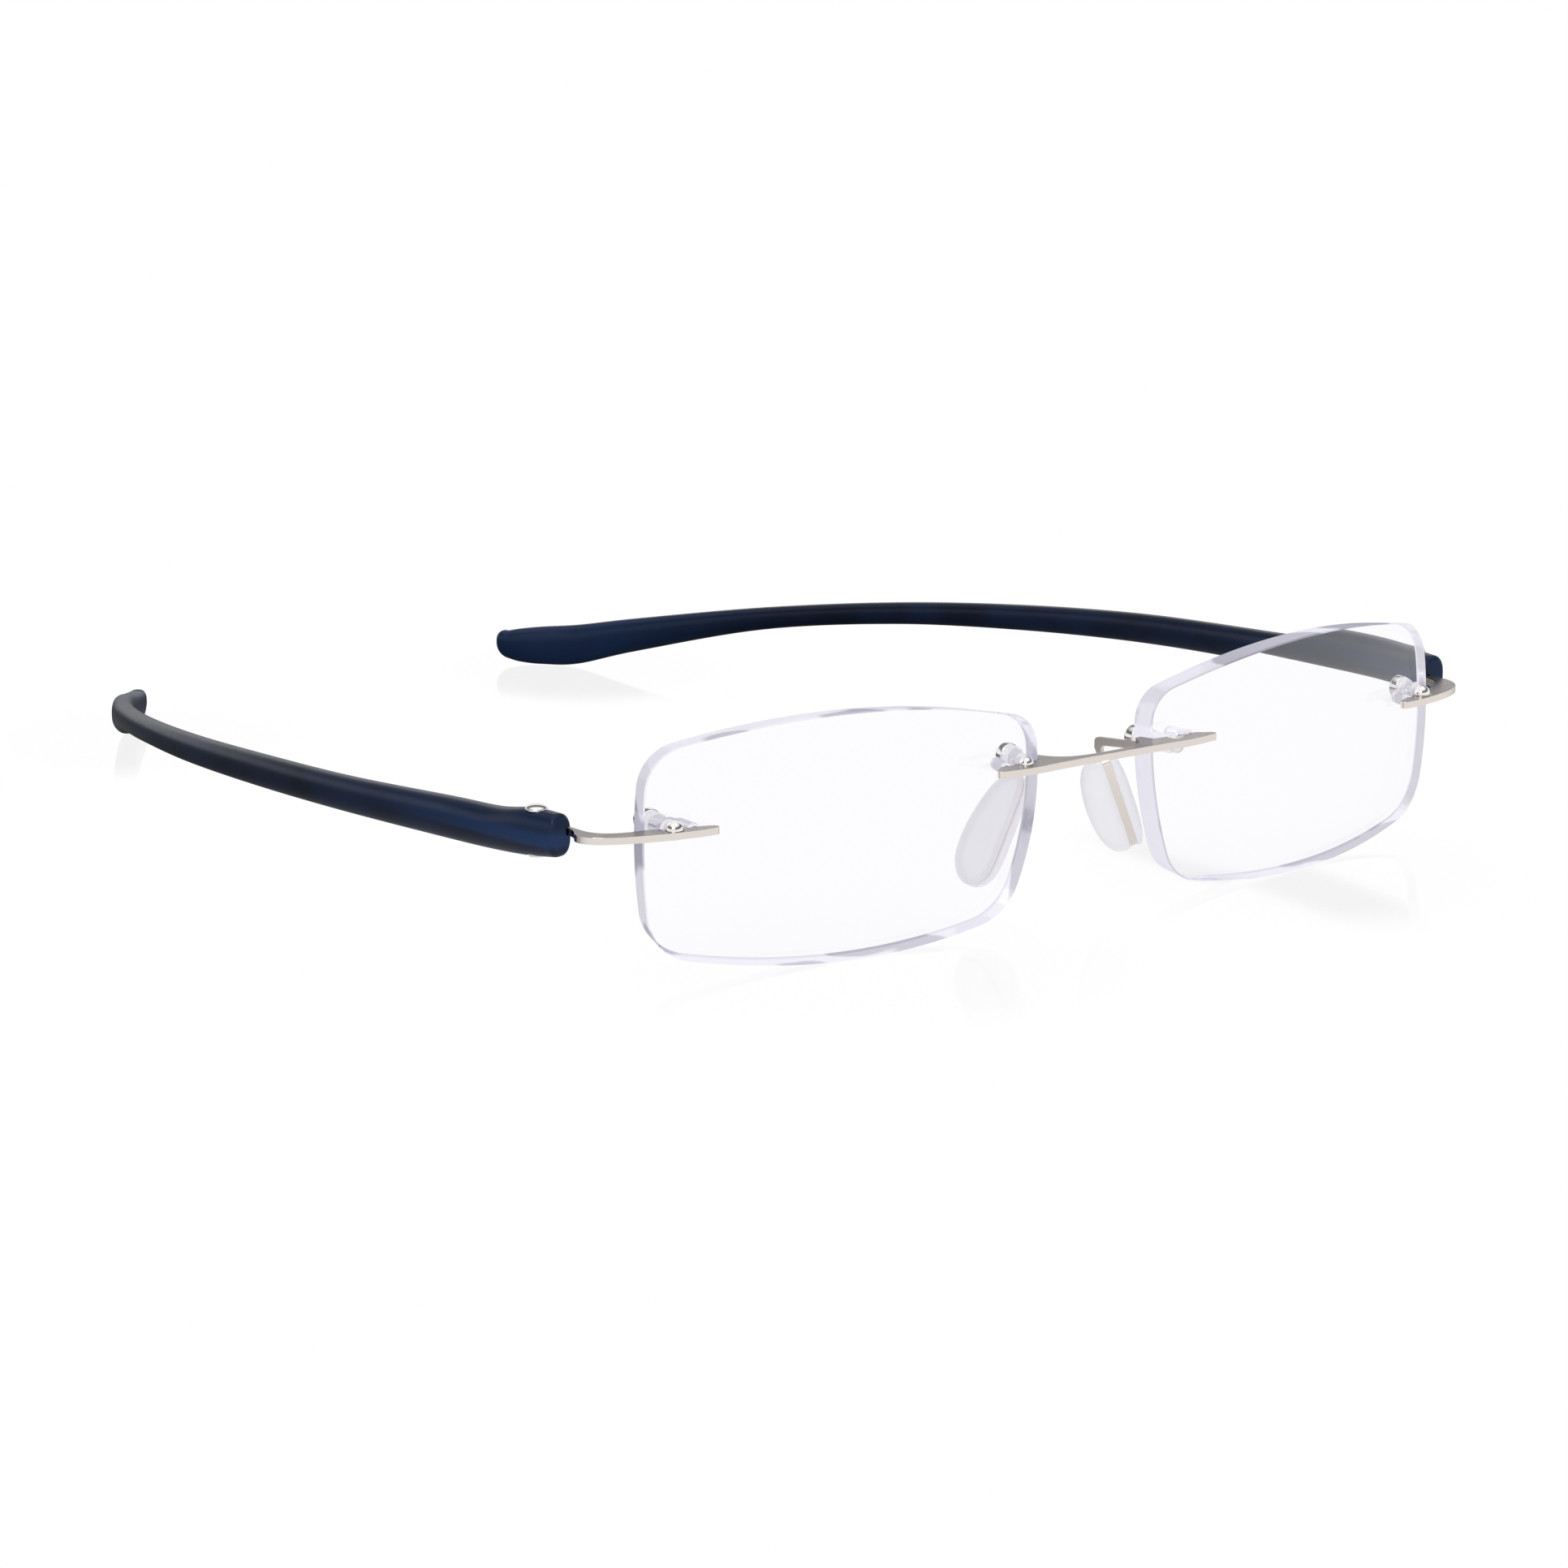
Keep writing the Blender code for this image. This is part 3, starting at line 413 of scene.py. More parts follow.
def nylon_material():
    """Off-white nylon of the hinge washers."""
    mat, t = new_material("washer_nylon_scene")
    fine = t.noise(4000.0, 3.0)
    base = t.mix(fine, colour(0.74, 0.73, 0.70), colour(0.86, 0.85, 0.82))
    nylon = t.node("ShaderNodeBsdfPrincipled", Base_Color=base, Roughness=0.5,
                   Normal=t.bump(fine, 0.2, 0.00002))
    t.finish(nylon.outputs[0])
    return mat


# ---------------------------------------------------------------- mesh helpers
def object_from_bmesh(bm, name):
    bmesh.ops.recalc_face_normals(bm, faces=bm.faces)
    mesh = bpy.data.meshes.new(name)
    bm.to_mesh(mesh)
    bm.free()
    obj = bpy.data.objects.new(name, mesh)
    bpy.context.scene.collection.objects.link(obj)
    return obj


def baked(obj, name, matrix=None):
    """A plain mesh object from any object's evaluated shape."""
    bpy.context.view_layer.update()
    graph = bpy.context.evaluated_depsgraph_get()
    mesh = bpy.data.meshes.new_from_object(obj.evaluated_get(graph))
    where = obj.matrix_world.copy() if matrix is None else matrix @ obj.matrix_world
    bm = bmesh.new()
    bm.from_mesh(mesh)
    bmesh.ops.transform(bm, matrix=where, verts=bm.verts)
    bmesh.ops.remove_doubles(bm, verts=bm.verts, dist=SAME_SPOT)
    bpy.data.meshes.remove(mesh)
    bpy.data.objects.remove(obj, do_unlink=True)
    return object_from_bmesh(bm, name)


def combine(target, tool, operation):
    """Cuts or joins the target with the tool, then removes the tool."""
    mod = target.modifiers.new(operation.lower(), "BOOLEAN")
    mod.operation = operation
    mod.solver = "EXACT"
    mod.object = tool
    name = target.name
    target.name = name + "_blank"
    result = baked(target, name)
    bpy.data.objects.remove(tool, do_unlink=True)
    return result


def bevelled(obj, width, segments=2, angle=35.0):
    """Breaks the sharp edges."""
    bm = bmesh.new()
    bm.from_mesh(obj.data)
    bmesh.ops.dissolve_limit(bm, angle_limit=math.radians(0.5), verts=bm.verts, edges=bm.edges)
    bm.to_mesh(obj.data)
    bm.free()
    mod = obj.modifiers.new("edge_break", "BEVEL")
    mod.width = width
    mod.segments = segments
    mod.limit_method = "ANGLE"
    mod.angle_limit = math.radians(angle)
    name = obj.name
    obj.name = name + "_blank"
    return baked(obj, name)


def revolve(name, profile, matrix, steps=48):
    """Solid of revolution about Z from a profile of (radius, height), axis points at radius 0."""
    bm = bmesh.new()
    rings = []
    for r, z in profile:
        if r < SAME_SPOT:
            rings.append([bm.verts.new((0, 0, z))])
        else:
            rings.append([bm.verts.new((r * math.cos(2 * math.pi * i / steps),
                                        r * math.sin(2 * math.pi * i / steps), z))
                          for i in range(steps)])
    for a, b in zip(rings, rings[1:]):
        for i in range(steps):
            j = (i + 1) % steps
            if len(a) == 1:
                bm.faces.new((a[0], b[j], b[i]))
            elif len(b) == 1:
                bm.faces.new((a[i], a[j], b[0]))
            else:
                bm.faces.new((a[i], a[j], b[j], b[i]))
    bmesh.ops.transform(bm, matrix=matrix, verts=bm.verts)
    return object_from_bmesh(bm, name)


def sheet(name, outlines, thickness, matrix):
    """Flat sheet in the local XY plane, centred on Z = 0. Outlines after the first are holes."""
    curve = bpy.data.curves.new(name + "_outline", "CURVE")
    curve.dimensions = "2D"
    curve.fill_mode = "BOTH"
    curve.extrude = thickness / 2
    for outline in outlines:
        spline = curve.splines.new("POLY")
        spline.points.add(len(outline) - 1)
        for point, (x, y) in zip(spline.points, outline):
            point.co = (x, y, 0.0, 1.0)
        spline.use_cyclic_u = True
    obj = bpy.data.objects.new(name + "_outline", curve)
    bpy.context.scene.collection.objects.link(obj)
    return baked(obj, name, matrix)


def cylinder(name, radius, z0, z1, matrix, segments=48):
    return revolve(name, [(0, z1), (radius, z1), (radius, z0), (0, z0)], matrix, segments)


def box(name, low, high, matrix):
    """Block between two opposite corners."""
    bm = bmesh.new()
    bmesh.ops.create_cube(bm, size=1.0)
    low, high = Vector(low), Vector(high)
    bmesh.ops.scale(bm, vec=high - low, verts=bm.verts)
    bmesh.ops.translate(bm, vec=(low + high) / 2, verts=bm.verts)
    bmesh.ops.transform(bm, matrix=matrix, verts=bm.verts)
    return object_from_bmesh(bm, name)


def loft(name, rings, fan=False):
    """Closed solid through rings of equal point count, with flat ends or ends fanned to a point."""
    bm = bmesh.new()
    loops = [[bm.verts.new(p) for p in ring] for ring in rings]
    count = len(loops[0])
    for lower, upper in zip(loops, loops[1:]):
        for i in range(count):
            j = (i + 1) % count
            bm.faces.new((lower[i], lower[j], upper[j], upper[i]))
    for end in (loops[0], loops[-1]):
        if fan:
            middle = bm.verts.new(sum((v.co for v in end), Vector()) / count)
            for i in range(count):
                bm.faces.new((end[i], end[(i + 1) % count], middle))
        else:
            bm.faces.new(end)
    return object_from_bmesh(bm, name)


def arc(cx, cy, radius, start, end, count):
    """Points of a circle from one angle to another, in degrees."""
    angles = [math.radians(start + (end - start) * i / (count - 1)) for i in range(count)]
    return [(cx + radius * math.cos(a), cy + radius * math.sin(a)) for a in angles]


def smooth_through(points, per_span, closed=False):
    """Catmull-Rom curve through tuples of any length, evenly parametrised."""
    n = len(points)
    spans = n if closed else n - 1
    result = []
    for i in range(spans):
        if closed:
            p0, p1, p2, p3 = (points[(i + k) % n] for k in (-1, 0, 1, 2))
        else:
            p0, p1 = points[max(i - 1, 0)], points[i]
            p2, p3 = points[i + 1], points[min(i + 2, n - 1)]
        for k in range(per_span):
            t = k / per_span
            result.append(tuple(
                0.5 * (2 * b + (c - a) * t + (2 * a - 5 * b + 4 * c - d) * t ** 2
                       + (3 * b - a - 3 * c + d) * t ** 3)
                for a, b, c, d in zip(p0, p1, p2, p3)))
    if not closed:
        result.append(points[-1])
    return result


def mirrored(points, side):
    """Plan points drawn for the left, moved to the given side."""
    return [(side * x, y) for x, y in points]


def place(obj, material, body, replaced, smooth_angle=30.0):
    """Scales to row-frame metres, shades, ties the piece to its body and hides the CAD nodes it
    replaces.
    """
    obj.data.transform(Matrix.Scale(MM, 4) @ Matrix.Translation(-ORIGIN))
    obj.data.materials.clear()
    for item in material if isinstance(material, list) else [material]:
        obj.data.materials.append(item)
    obj.data.shade_smooth()
    if smooth_angle:
        obj.data.set_sharp_from_angle(angle=math.radians(smooth_angle))
    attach(obj, body)
    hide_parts(*replaced)
    return obj


# ---------------------------------------------------------------- lenses
def lens_matrix(side):
    """Lens axes: X towards +X, Y up, Z forward, origin at the front vertex."""
    at = Matrix.Translation((side * LENS_CENTRE_X, 0, 0))
    wrap = Matrix.Rotation(math.radians(side * LENS_WRAP), 4, "Z")
    tilt = Matrix.Rotation(math.radians(LENS_TILT), 4, "X")
    stand_up = Matrix.Rotation(math.radians(90), 4, "X")
    return at @ wrap @ tilt @ stand_up


def front_sag(radius_squared):
    """Depth of the front face behind the lens vertex."""
    return LENS_FRONT_RADIUS - math.sqrt(LENS_FRONT_RADIUS ** 2 - radius_squared)


def rear_sag(radius_squared):
    """Depth of the rear face behind the lens vertex."""
    sag = LENS_REAR_RADIUS - math.sqrt(LENS_REAR_RADIUS ** 2 - radius_squared)
    return LENS_CENTRE_THICKNESS + sag


def fitting_v(side, z, u):
    """Height in the lens frame of a design height z."""
    low = (lens_matrix(side) @ Vector((side * u, 0, 0))).z
    high = (lens_matrix(side) @ Vector((side * u, 1, 0))).z
    return (z - low) / (high - low)


def fitting_places(side):
    """Plate height, ball height and radius, pin and peg position for a lens's two fittings."""
    temporal = (END_PLATE_Z, TEMPORAL_PIN_Z[side], TEMPORAL_BALL_RADIUS, TEMPORAL_PIN_U,
                TEMPORAL_PEG_U)
    nasal = (BRIDGE_Z, NASAL_PIN_Z[side], NASAL_BALL_RADIUS, NASAL_PIN_U, NASAL_PEG_U)
    return (temporal, nasal)


def lens_face(side, u, z):
    """Level of the front face along the lens axis, at u and a design height z."""
    v = fitting_v(side, z, u)
    return -front_sag(u * u + v * v)


def corner_blend(before, start, end, after, count):
    """Rounds from start to end, leaving along before-start and arriving along end-after."""
    span = math.hypot(end[0] - start[0], end[1] - start[1])
    leave = Vector(start) - Vector(before)
    arrive = Vector(after) - Vector(end)
    turn = leave.angle(arrive)
    handle = span / (2 * math.sin(turn / 2)) * 4 / 3 * math.tan(turn / 4)
    a = Vector(start) + leave.normalized() * handle
    b = Vector(end) - arrive.normalized() * handle
    points = []
    for k in range(1, count + 1):
        t = k / (count + 1)
        p = (1 - t) ** 3 * Vector(start) + 3 * (1 - t) ** 2 * t * a
        p += 3 * (1 - t) * t * t * b + t ** 3 * Vector(end)
        points.append(tuple(p))
    return points


def lens_outline(samples=34, corner=16):
    """Rounded quadrilateral with bowed sides, as a closed list of (u, v)."""
    sides = []
    for i in range(4):
        u0, v0, r0 = LENS_CORNERS[i]
        u1, v1, r1 = LENS_CORNERS[(i + 1) % 4]
        length = math.hypot(u1 - u0, v1 - v0)
        nu, nv = (v1 - v0) / length, -(u1 - u0) / length
        points = []
        for k in range(samples):
            t = (r0 + (length - r0 - r1) * k / (samples - 1)) / length
            bow = 4 * t * (1 - t) * LENS_BULGES[i]
            points.append((u0 + (u1 - u0) * t + nu * bow, v0 + (v1 - v0) * t + nv * bow))
        sides.append(points)
    outline = []
    for i in range(4):
        here, ahead = sides[i], sides[(i + 1) % 4]
        outline += here
        outline += corner_blend(here[-2], here[-1], ahead[0], ahead[1], corner)
    return outline


def grown(points, offset):
    """Closed outline moved outwards along its normals."""
    count = len(points)
    result = []
    for i, (x, y) in enumerate(points):
        ahead, behind = points[(i + 1) % count], points[i - 1]
        along = Vector((ahead[0] - behind[0], ahead[1] - behind[1])).normalized()
        result.append((x + along.y * offset, y - along.x * offset))
    return result


def build_lens(name, side):
    """Two spherical faces and a rim square to the front, drilled for two pins and two pegs."""
    outline = lens_outline()
    inset = grown(outline, -LENS_EDGE_BREAK)
    centre = Vector((0, 0, -LENS_FRONT_RADIUS))
    front = []
    for share in LENS_RINGS:
        front.append([Vector((side * u * share, v * share,
                              -front_sag((u * u + v * v) * share ** 2))) for u, v in inset])
    wall_front, wall_rear, rear_rim = [], [], []
    for (u, v), (ui, vi) in zip(outline, inset):
        top = Vector((side * u, v, -front_sag(u * u + v * v)))
        inward = (centre - top).normalized()
        # a few steps towards the depth at which the wall meets the rear face
        depth = LENS_CENTRE_THICKNESS
        for _ in range(8):
            p = top + inward * depth
            depth += (-rear_sag(p.x ** 2 + p.y ** 2) - p.z) / inward.z
        wall_front.append(top + inward * LENS_EDGE_BREAK)
        wall_rear.append(top + inward * (depth - LENS_EDGE_BREAK))
        p = top + inward * depth
        x, y = p.x + side * (ui - u), p.y + vi - v
        rear_rim.append(Vector((x, y, -rear_sag(x * x + y * y))))
    rear = []
    for share in reversed(LENS_RINGS):
        rear.append([Vector((p.x * share, p.y * share,
                             -rear_sag((p.x ** 2 + p.y ** 2) * share ** 2))) for p in rear_rim])
    lens = loft(name, front + [wall_front, wall_rear] + rear, fan=True)
    for z, ball_z, ball, pin_u, peg_u in fitting_places(side):
        pin = Matrix.Translation((side * pin_u, fitting_v(side, ball_z, pin_u), 0))
        peg = Matrix.Translation((side * peg_u, fitting_v(side, z, peg_u), 0))
        bed = lens_face(side, pin_u, ball_z) - COUNTERBORE_DEPTH
        behind, ahead = LENS_DRILL
        holes = ((SLEEVE_RADIUS + FIT, behind, pin), (PEG_RADIUS + FIT, behind, peg),
                 (ball + BALL_BED, bed, pin))
        for radius, rear_end, spot in holes:
            drill = cylinder(name + "_hole", radius, rear_end, ahead, spot)
            lens = combine(lens, drill, "DIFFERENCE")
    return baked(lens, name, lens_matrix(side))


def polish_lens(lens, side):
    """Gives both faces the exact normals of their spheres and the rim its own material."""
    # least cosine between a face and its sphere for the face to belong to it
    aligned = 0.995
    to_lens = lens_matrix(side).inverted() @ Matrix.Translation(ORIGIN) @ Matrix.Scale(1 / MM, 4)
    turn = lens_matrix(side).to_3x3()
    mesh = lens.data
    normals = [Vector(n.vector) for n in mesh.corner_normals]
    front_centre = Vector((0, 0, -LENS_FRONT_RADIUS))
    rear_centre = Vector((0, 0, -LENS_CENTRE_THICKNESS - LENS_REAR_RADIUS))
    for face in mesh.polygons:
        middle = to_lens @ face.center
        flat = turn.transposed() @ face.normal
        out_front = (middle - front_centre).normalized()
        out_rear = -(middle - rear_centre).normalized()
        is_front = flat.dot(out_front) > aligned and flat.z > 0
        is_rear = flat.dot(out_rear) > aligned and flat.z < 0
        face.material_index = 0 if is_front or is_rear else 1
        if not (is_front or is_rear):
            continue
        for k in face.loop_indices:
            point = to_lens @ mesh.vertices[mesh.loops[k].vertex_index].co
            out = point - front_centre if is_front else rear_centre - point
            normals[k] = (turn @ out).normalized()
    mesh.normals_split_custom_set(normals)


# ---------------------------------------------------------------- lens fittings
def fitting_frame(side, u, z):
    """Axes of a pin or peg: origin on the lens front at (u, z), Z pointing forward."""
    spot = (side * u, fitting_v(side, z, u), lens_face(side, u, z))
    return lens_matrix(side) @ Matrix.Translation(spot)


def lens_depth(side, u, z):
    """Lens thickness along a fitting's axis, up to where a flat flange first touches."""
    v = fitting_v(side, z, u)
    r2 = u * u + v * v
    flange_lift = FLANGE_ACROSS_CORNERS / 2 * math.sqrt(r2) / LENS_REAR_RADIUS
    return rear_sag(r2) - front_sag(r2) + flange_lift


def build_pin(name, side, u, z, ball_radius):
    """Ball in front of the lens on a shank that ends inside the cap."""
    depth = lens_depth(side, u, z)
    neck = math.sqrt(ball_radius ** 2 - SHANK_RADIUS ** 2)
    below = -math.degrees(math.atan2(neck, SHANK_RADIUS))
    ball = arc(0, BALL_SEAT, ball_radius, 90, below, 24)
    end = -(depth + FIT + FLANGE_THICKNESS + CAP_LENGTH * SHANK_IN_CAP)
    profile = [(0.0, BALL_SEAT + ball_radius)] + ball[1:]
    profile += [(SHANK_RADIUS, end + SHANK_CHAMFER), (SHANK_RADIUS - SHANK_CHAMFER, end),
                (0.0, end)]
    return revolve(name, profile, fitting_frame(side, u, z), 40)


def build_sleeve(name, side, u, z):
    """Bored sleeve through the lens, with a hexagonal flange behind it."""
    face = -(lens_depth(side, u, z) + FIT)
    back = face - FLANGE_THICKNESS
    where = fitting_frame(side, u, z)
    front = -(COUNTERBORE_DEPTH + FIT)
    hexagon = [(FLANGE_ACROSS_CORNERS / 2 * math.sin(math.radians(60 * k)),
                FLANGE_ACROSS_CORNERS / 2 * math.cos(math.radians(60 * k))) for k in range(6)]
    middle = where @ Matrix.Translation((0, 0, (face + back) / 2))
    flange = sheet(name + "_flange", [hexagon], FLANGE_THICKNESS, middle)
    flange = bevelled(flange, FLANGE_EDGE_BREAK, 3)
    body = cylinder(name, SLEEVE_RADIUS, (face + back) / 2, front, where)
    body = combine(body, flange, "UNION")
    bore = cylinder(name + "_bore", SHANK_RADIUS + FIT, back - 1, 1, where, 40)
    return combine(body, bore, "DIFFERENCE")


def build_cap(name, side, u, z):
    """Round cap with a blind bore, behind the flange."""
    mouth = -(lens_depth(side, u, z) + 2 * FIT + FLANGE_THICKNESS)
    end = mouth - CAP_LENGTH
    bore = SHANK_RADIUS + FIT
    bottom = mouth - CAP_LENGTH * CAP_BORE
    lip = arc(CAP_RADIUS - CAP_LIP, mouth - CAP_LIP, CAP_LIP, 90, 0, 6)
    dome = arc(CAP_RADIUS - CAP_DOME, end + CAP_DOME, CAP_DOME, 0, -90, 9)
    profile = [(0.0, bottom), (bore, bottom), (bore, mouth)]
    profile += lip + dome + [(0.0, end)]
    return revolve(name, profile, fitting_frame(side, u, z), 48)


def build_peg(name, side, u, z):
    """Round peg through the lens, slotted in front for the plate's prong."""
    top, bottom = PEG_PROUD, -(lens_depth(side, u, z) + PEG_PROUD)
    inner = PEG_RADIUS - PEG_EDGE
    profile = [(0.0, top)] + arc(inner, top - PEG_EDGE, PEG_EDGE, 90, 0, 6)
    profile += arc(inner, bottom + PEG_EDGE, PEG_EDGE, 0, -90, 6) + [(0.0, bottom)]
    where = fitting_frame(side, u, z)
    peg = revolve(name, profile, where, 40)
    across, up = PRONG_WIDTH / 2 + FIT, SHEET / 2 + FIT
    tip = PEG_PROUD + FIT - PRONG_LENGTH
    clear_of_peg = 2.0
    slot = box(name + "_slot", (-across, -up, tip), (across, up, clear_of_peg), where)
    return combine(peg, slot, "DIFFERENCE")


# ---------------------------------------------------------------- plates
def plan(u, z, ahead, across=0.0):
    """Plan position (|x|, y) ahead of the lens face at u, offset across its axis."""
    point = fitting_frame(1, u, z) @ Vector((across, 0, ahead))
    return (point.x, point.y)


def window(u, z, ball_radius, count=33):
    """Rear outline of a plate at a ball: round bay open to the lens."""
    bay = ball_radius + BALL_ROOM
    rear = math.asin((BALL_SEAT - 3 * FIT) / bay)
    points = []
    for i in range(count):
        a = math.pi + rear - (math.pi + 2 * rear) * i / (count - 1)
        ahead = BALL_SEAT + bay * math.sin(a)
        points.append(plan(u, z, ahead, bay * math.cos(a)))
    return points


def prong(u, z):
    """Rear outline of a plate at a peg: a short prong that enters it."""
    half = PRONG_WIDTH / 2
    wide = PEG_RADIUS + 2 * FIT
    root = PEG_PROUD + 2 * FIT
    tip = root - PRONG_LENGTH
    corners = [(root, -wide), (root, -half), (tip, -half), (tip, half), (root, half), (root, wide)]
    return [plan(u, z, ahead, across) for ahead, across in corners]


def build_end_plate(name, side):
    """L-shaped sheet: in front of the lens, round the corner and back to the hinge eye."""
    rear = prong(TEMPORAL_PEG_U, END_PLATE_Z)
    rear += window(TEMPORAL_PIN_U, END_PLATE_Z, TEMPORAL_BALL_RADIUS)
    rear += [plan(u, END_PLATE_Z, 4 * FIT) for u in (24.0, 25.3)]
    rear += smooth_through(CORNER_INSIDE[side], 8)
    eye = arc(HINGE_X, HINGE_Y, EYE_RADIUS, 190, -15, 26)
    front = smooth_through(CORNER_OUTSIDE[side], 8)
    tip = arc(52.0, 2.75, STRIP_TIP_RADIUS, -100, -235, 12)
    outline = rear + eye + front + tip
    hole = arc(HINGE_X, HINGE_Y, RIVET_RADIUS + FIT, 0, 350, 36)
    level = Matrix.Translation((0, 0, END_PLATE_Z))
    plate = sheet(name, [mirrored(outline, side), mirrored(hole, side)], SHEET, level)
    return bevelled(plate, PLATE_EDGE_BREAK)


def build_bridge(name):
    """Straight sheet between the lenses, with a keyhole, a prong and a shoulder on each side."""
    inner = [(0.0, -2.30), (2.5, -2.25), (4.6, -1.85), (6.1, -1.0), (6.9, 0.1), (7.3, 1.0)]
    half = smooth_through(inner, 4)
    half += [(8.1, 1.0), (8.35, 0.0), (8.6, -0.75)]
    half += window(NASAL_PIN_U, BRIDGE_Z, NASAL_BALL_RADIUS) + prong(NASAL_PEG_U, BRIDGE_Z)
    half += arc(15.75, -2.55, STRIP_TIP_RADIUS, 80, -100, 14)
    outer = [(13.6, -3.45), (11.1, -3.60), (8.3, -3.45), (4.0, -3.35)]
    half += smooth_through(outer, 4)
    outline = half + [(0.0, -3.35)] + mirrored(reversed(half[1:]), -1)
    plate = sheet(name, [outline], SHEET, Matrix.Translation((0, 0, BRIDGE_Z)))
    return bevelled(plate, PLATE_EDGE_BREAK)


# ---------------------------------------------------------------- nose pads
def pad_axes(side):
    """Pad loop axes as columns: along the width (backwards), up, and out from the nose."""
    splay = math.radians(PAD_SPLAY)
    back = Vector((math.sin(splay), math.cos(splay), 0))
    back = (back - back.dot(PAD_UP) * PAD_UP).normalized()
    out = back.cross(PAD_UP)
    axes = Matrix((back, PAD_UP, out)).transposed().to_4x4()
    axes.translation = PAD_LOOP_FOOT
    return Matrix.Diagonal((side, 1, 1, 1)) @ axes


def pad_loop(offset, samples=8):
    """Closed D-shaped outline of the loop: straight in front, bowed behind, grown by an offset."""
    knots = [(0.0, 0.6), (0.0, 4.8), (0.05, 9.0), (0.6, 10.5), (1.8, 10.5), (2.9, 9.2),
             (3.8, 6.6), (4.35, 3.2), (4.2, 0.2), (3.2, -1.6), (1.8, -2.2), (0.5, -1.3)]
    return grown(smooth_through(knots, samples, closed=True), -offset)


def build_pad_arm(name, side):
    """Flat strip back from the bridge, down, and round the pad in a closed loop."""
    loop = sheet(name, [pad_loop(0.0), pad_loop(-RIBBON_THICKNESS)], RIBBON_WIDTH, pad_axes(side))
    root, rear = PAD_ARM_TOP
    front, back, foot = PAD_ARM_FRONT_Y + FIT, PAD_ARM_BACK_Y, PAD_ARM_FOOT_Z
    inner = back - PAD_LEG
    notch, slant = 0.3, 0.9
    elbow = [(front, root - RIBBON_WIDTH), (inner - notch, rear - RIBBON_WIDTH)]
    elbow += [(inner, rear - RIBBON_WIDTH - notch), (inner, foot), (back - PAD_LEG / 2, foot)]
    elbow += [(back, foot + slant)]
    elbow += arc(back - PAD_ELBOW, rear - PAD_ELBOW, PAD_ELBOW, 0, 84, 8) + [(front, root)]
    across = Matrix(((0, 0, 1, side * PAD_ARM_X), (1, 0, 0, 0), (0, 1, 0, 0), (0, 0, 0, 1)))
    strip = sheet(name + "_strip", [elbow], RIBBON_THICKNESS, across)
    return bevelled(combine(loop, strip, "UNION"), RIBBON_EDGE_BREAK)


def pad_ring(scale):
    """Lip outline shrunk towards the middle of the pad."""
    middle = Vector(PAD_MIDDLE)
    return [tuple(middle + (Vector(p) - middle) * scale) for p in pad_loop(PAD_LIP)]


def build_nose_pad(name, side):
    """Soft pad: domed on both faces, with a groove that holds the ribbon."""
    groove = RIBBON_WIDTH / 2 + FIT * 2
    bed = pad_loop(-RIBBON_THICKNESS - 2 * FIT)
    sections = []
    for low, high, power in PAD_FACES:
        dome = []
        for k in range(PAD_RINGS):
            a = math.radians(88 * (1 - k / (PAD_RINGS - 1)))
            scale = math.cos(a) ** (2 / power)
            dome.append((pad_ring(scale), low + (high - low) * math.sin(a) ** (2 / power)))
        sections.append(dome)
    rings = [(outline, -level) for outline, level in sections[0]]
    rings += [(pad_loop(PAD_LIP), -groove - 0.1), (pad_loop(PAD_LIP - 0.1), -groove),
              (bed, -groove), (bed, groove), (pad_loop(PAD_LIP - 0.1), groove)]
    rings += [(outline, level) for outline, level in reversed(sections[1])]
    axes = pad_axes(side)
    solid = [[axes @ Vector((x, y, level)) for x, y in outline] for outline, level in rings]
    return loft(name, solid, fan=True)


# ---------------------------------------------------------------- temples and hinges
def temple_section(centre, heading, height, width, count=48, power=2.7):
    """Upright superellipse across the arm."""
    outward = Vector((math.cos(heading), math.sin(heading), 0))
    ring = []
    for i in range(count):
        a = 2 * math.pi * (i + 0.5) / count
        c, s = math.cos(a), math.sin(a)
        across = math.copysign(abs(c) ** (2 / power), c) * width / 2
        up = math.copysign(abs(s) ** (2 / power), s) * height / 2
        ring.append(centre + outward * across + Vector((0, 0, up)))
    return ring


def fade(value):
    """Smooth step from 0 to 1."""
    share = min(max(value, 0.0), 1.0)
    return share * share * (3 - 2 * share)


def own_shape(side, y, z, height):
    """Centre height and section height of one temple, lifted in front and trimmed behind."""
    lift = TEMPLE_LIFT[side] * fade((LIFT_ENDS_Y - y) / (LIFT_ENDS_Y - HINGE_Y))
    trim = TIP_TRIM[side] * fade((y - TRIM_STARTS_Y) / TRIM_RUN)
    return z + lift - trim / 4, height - trim


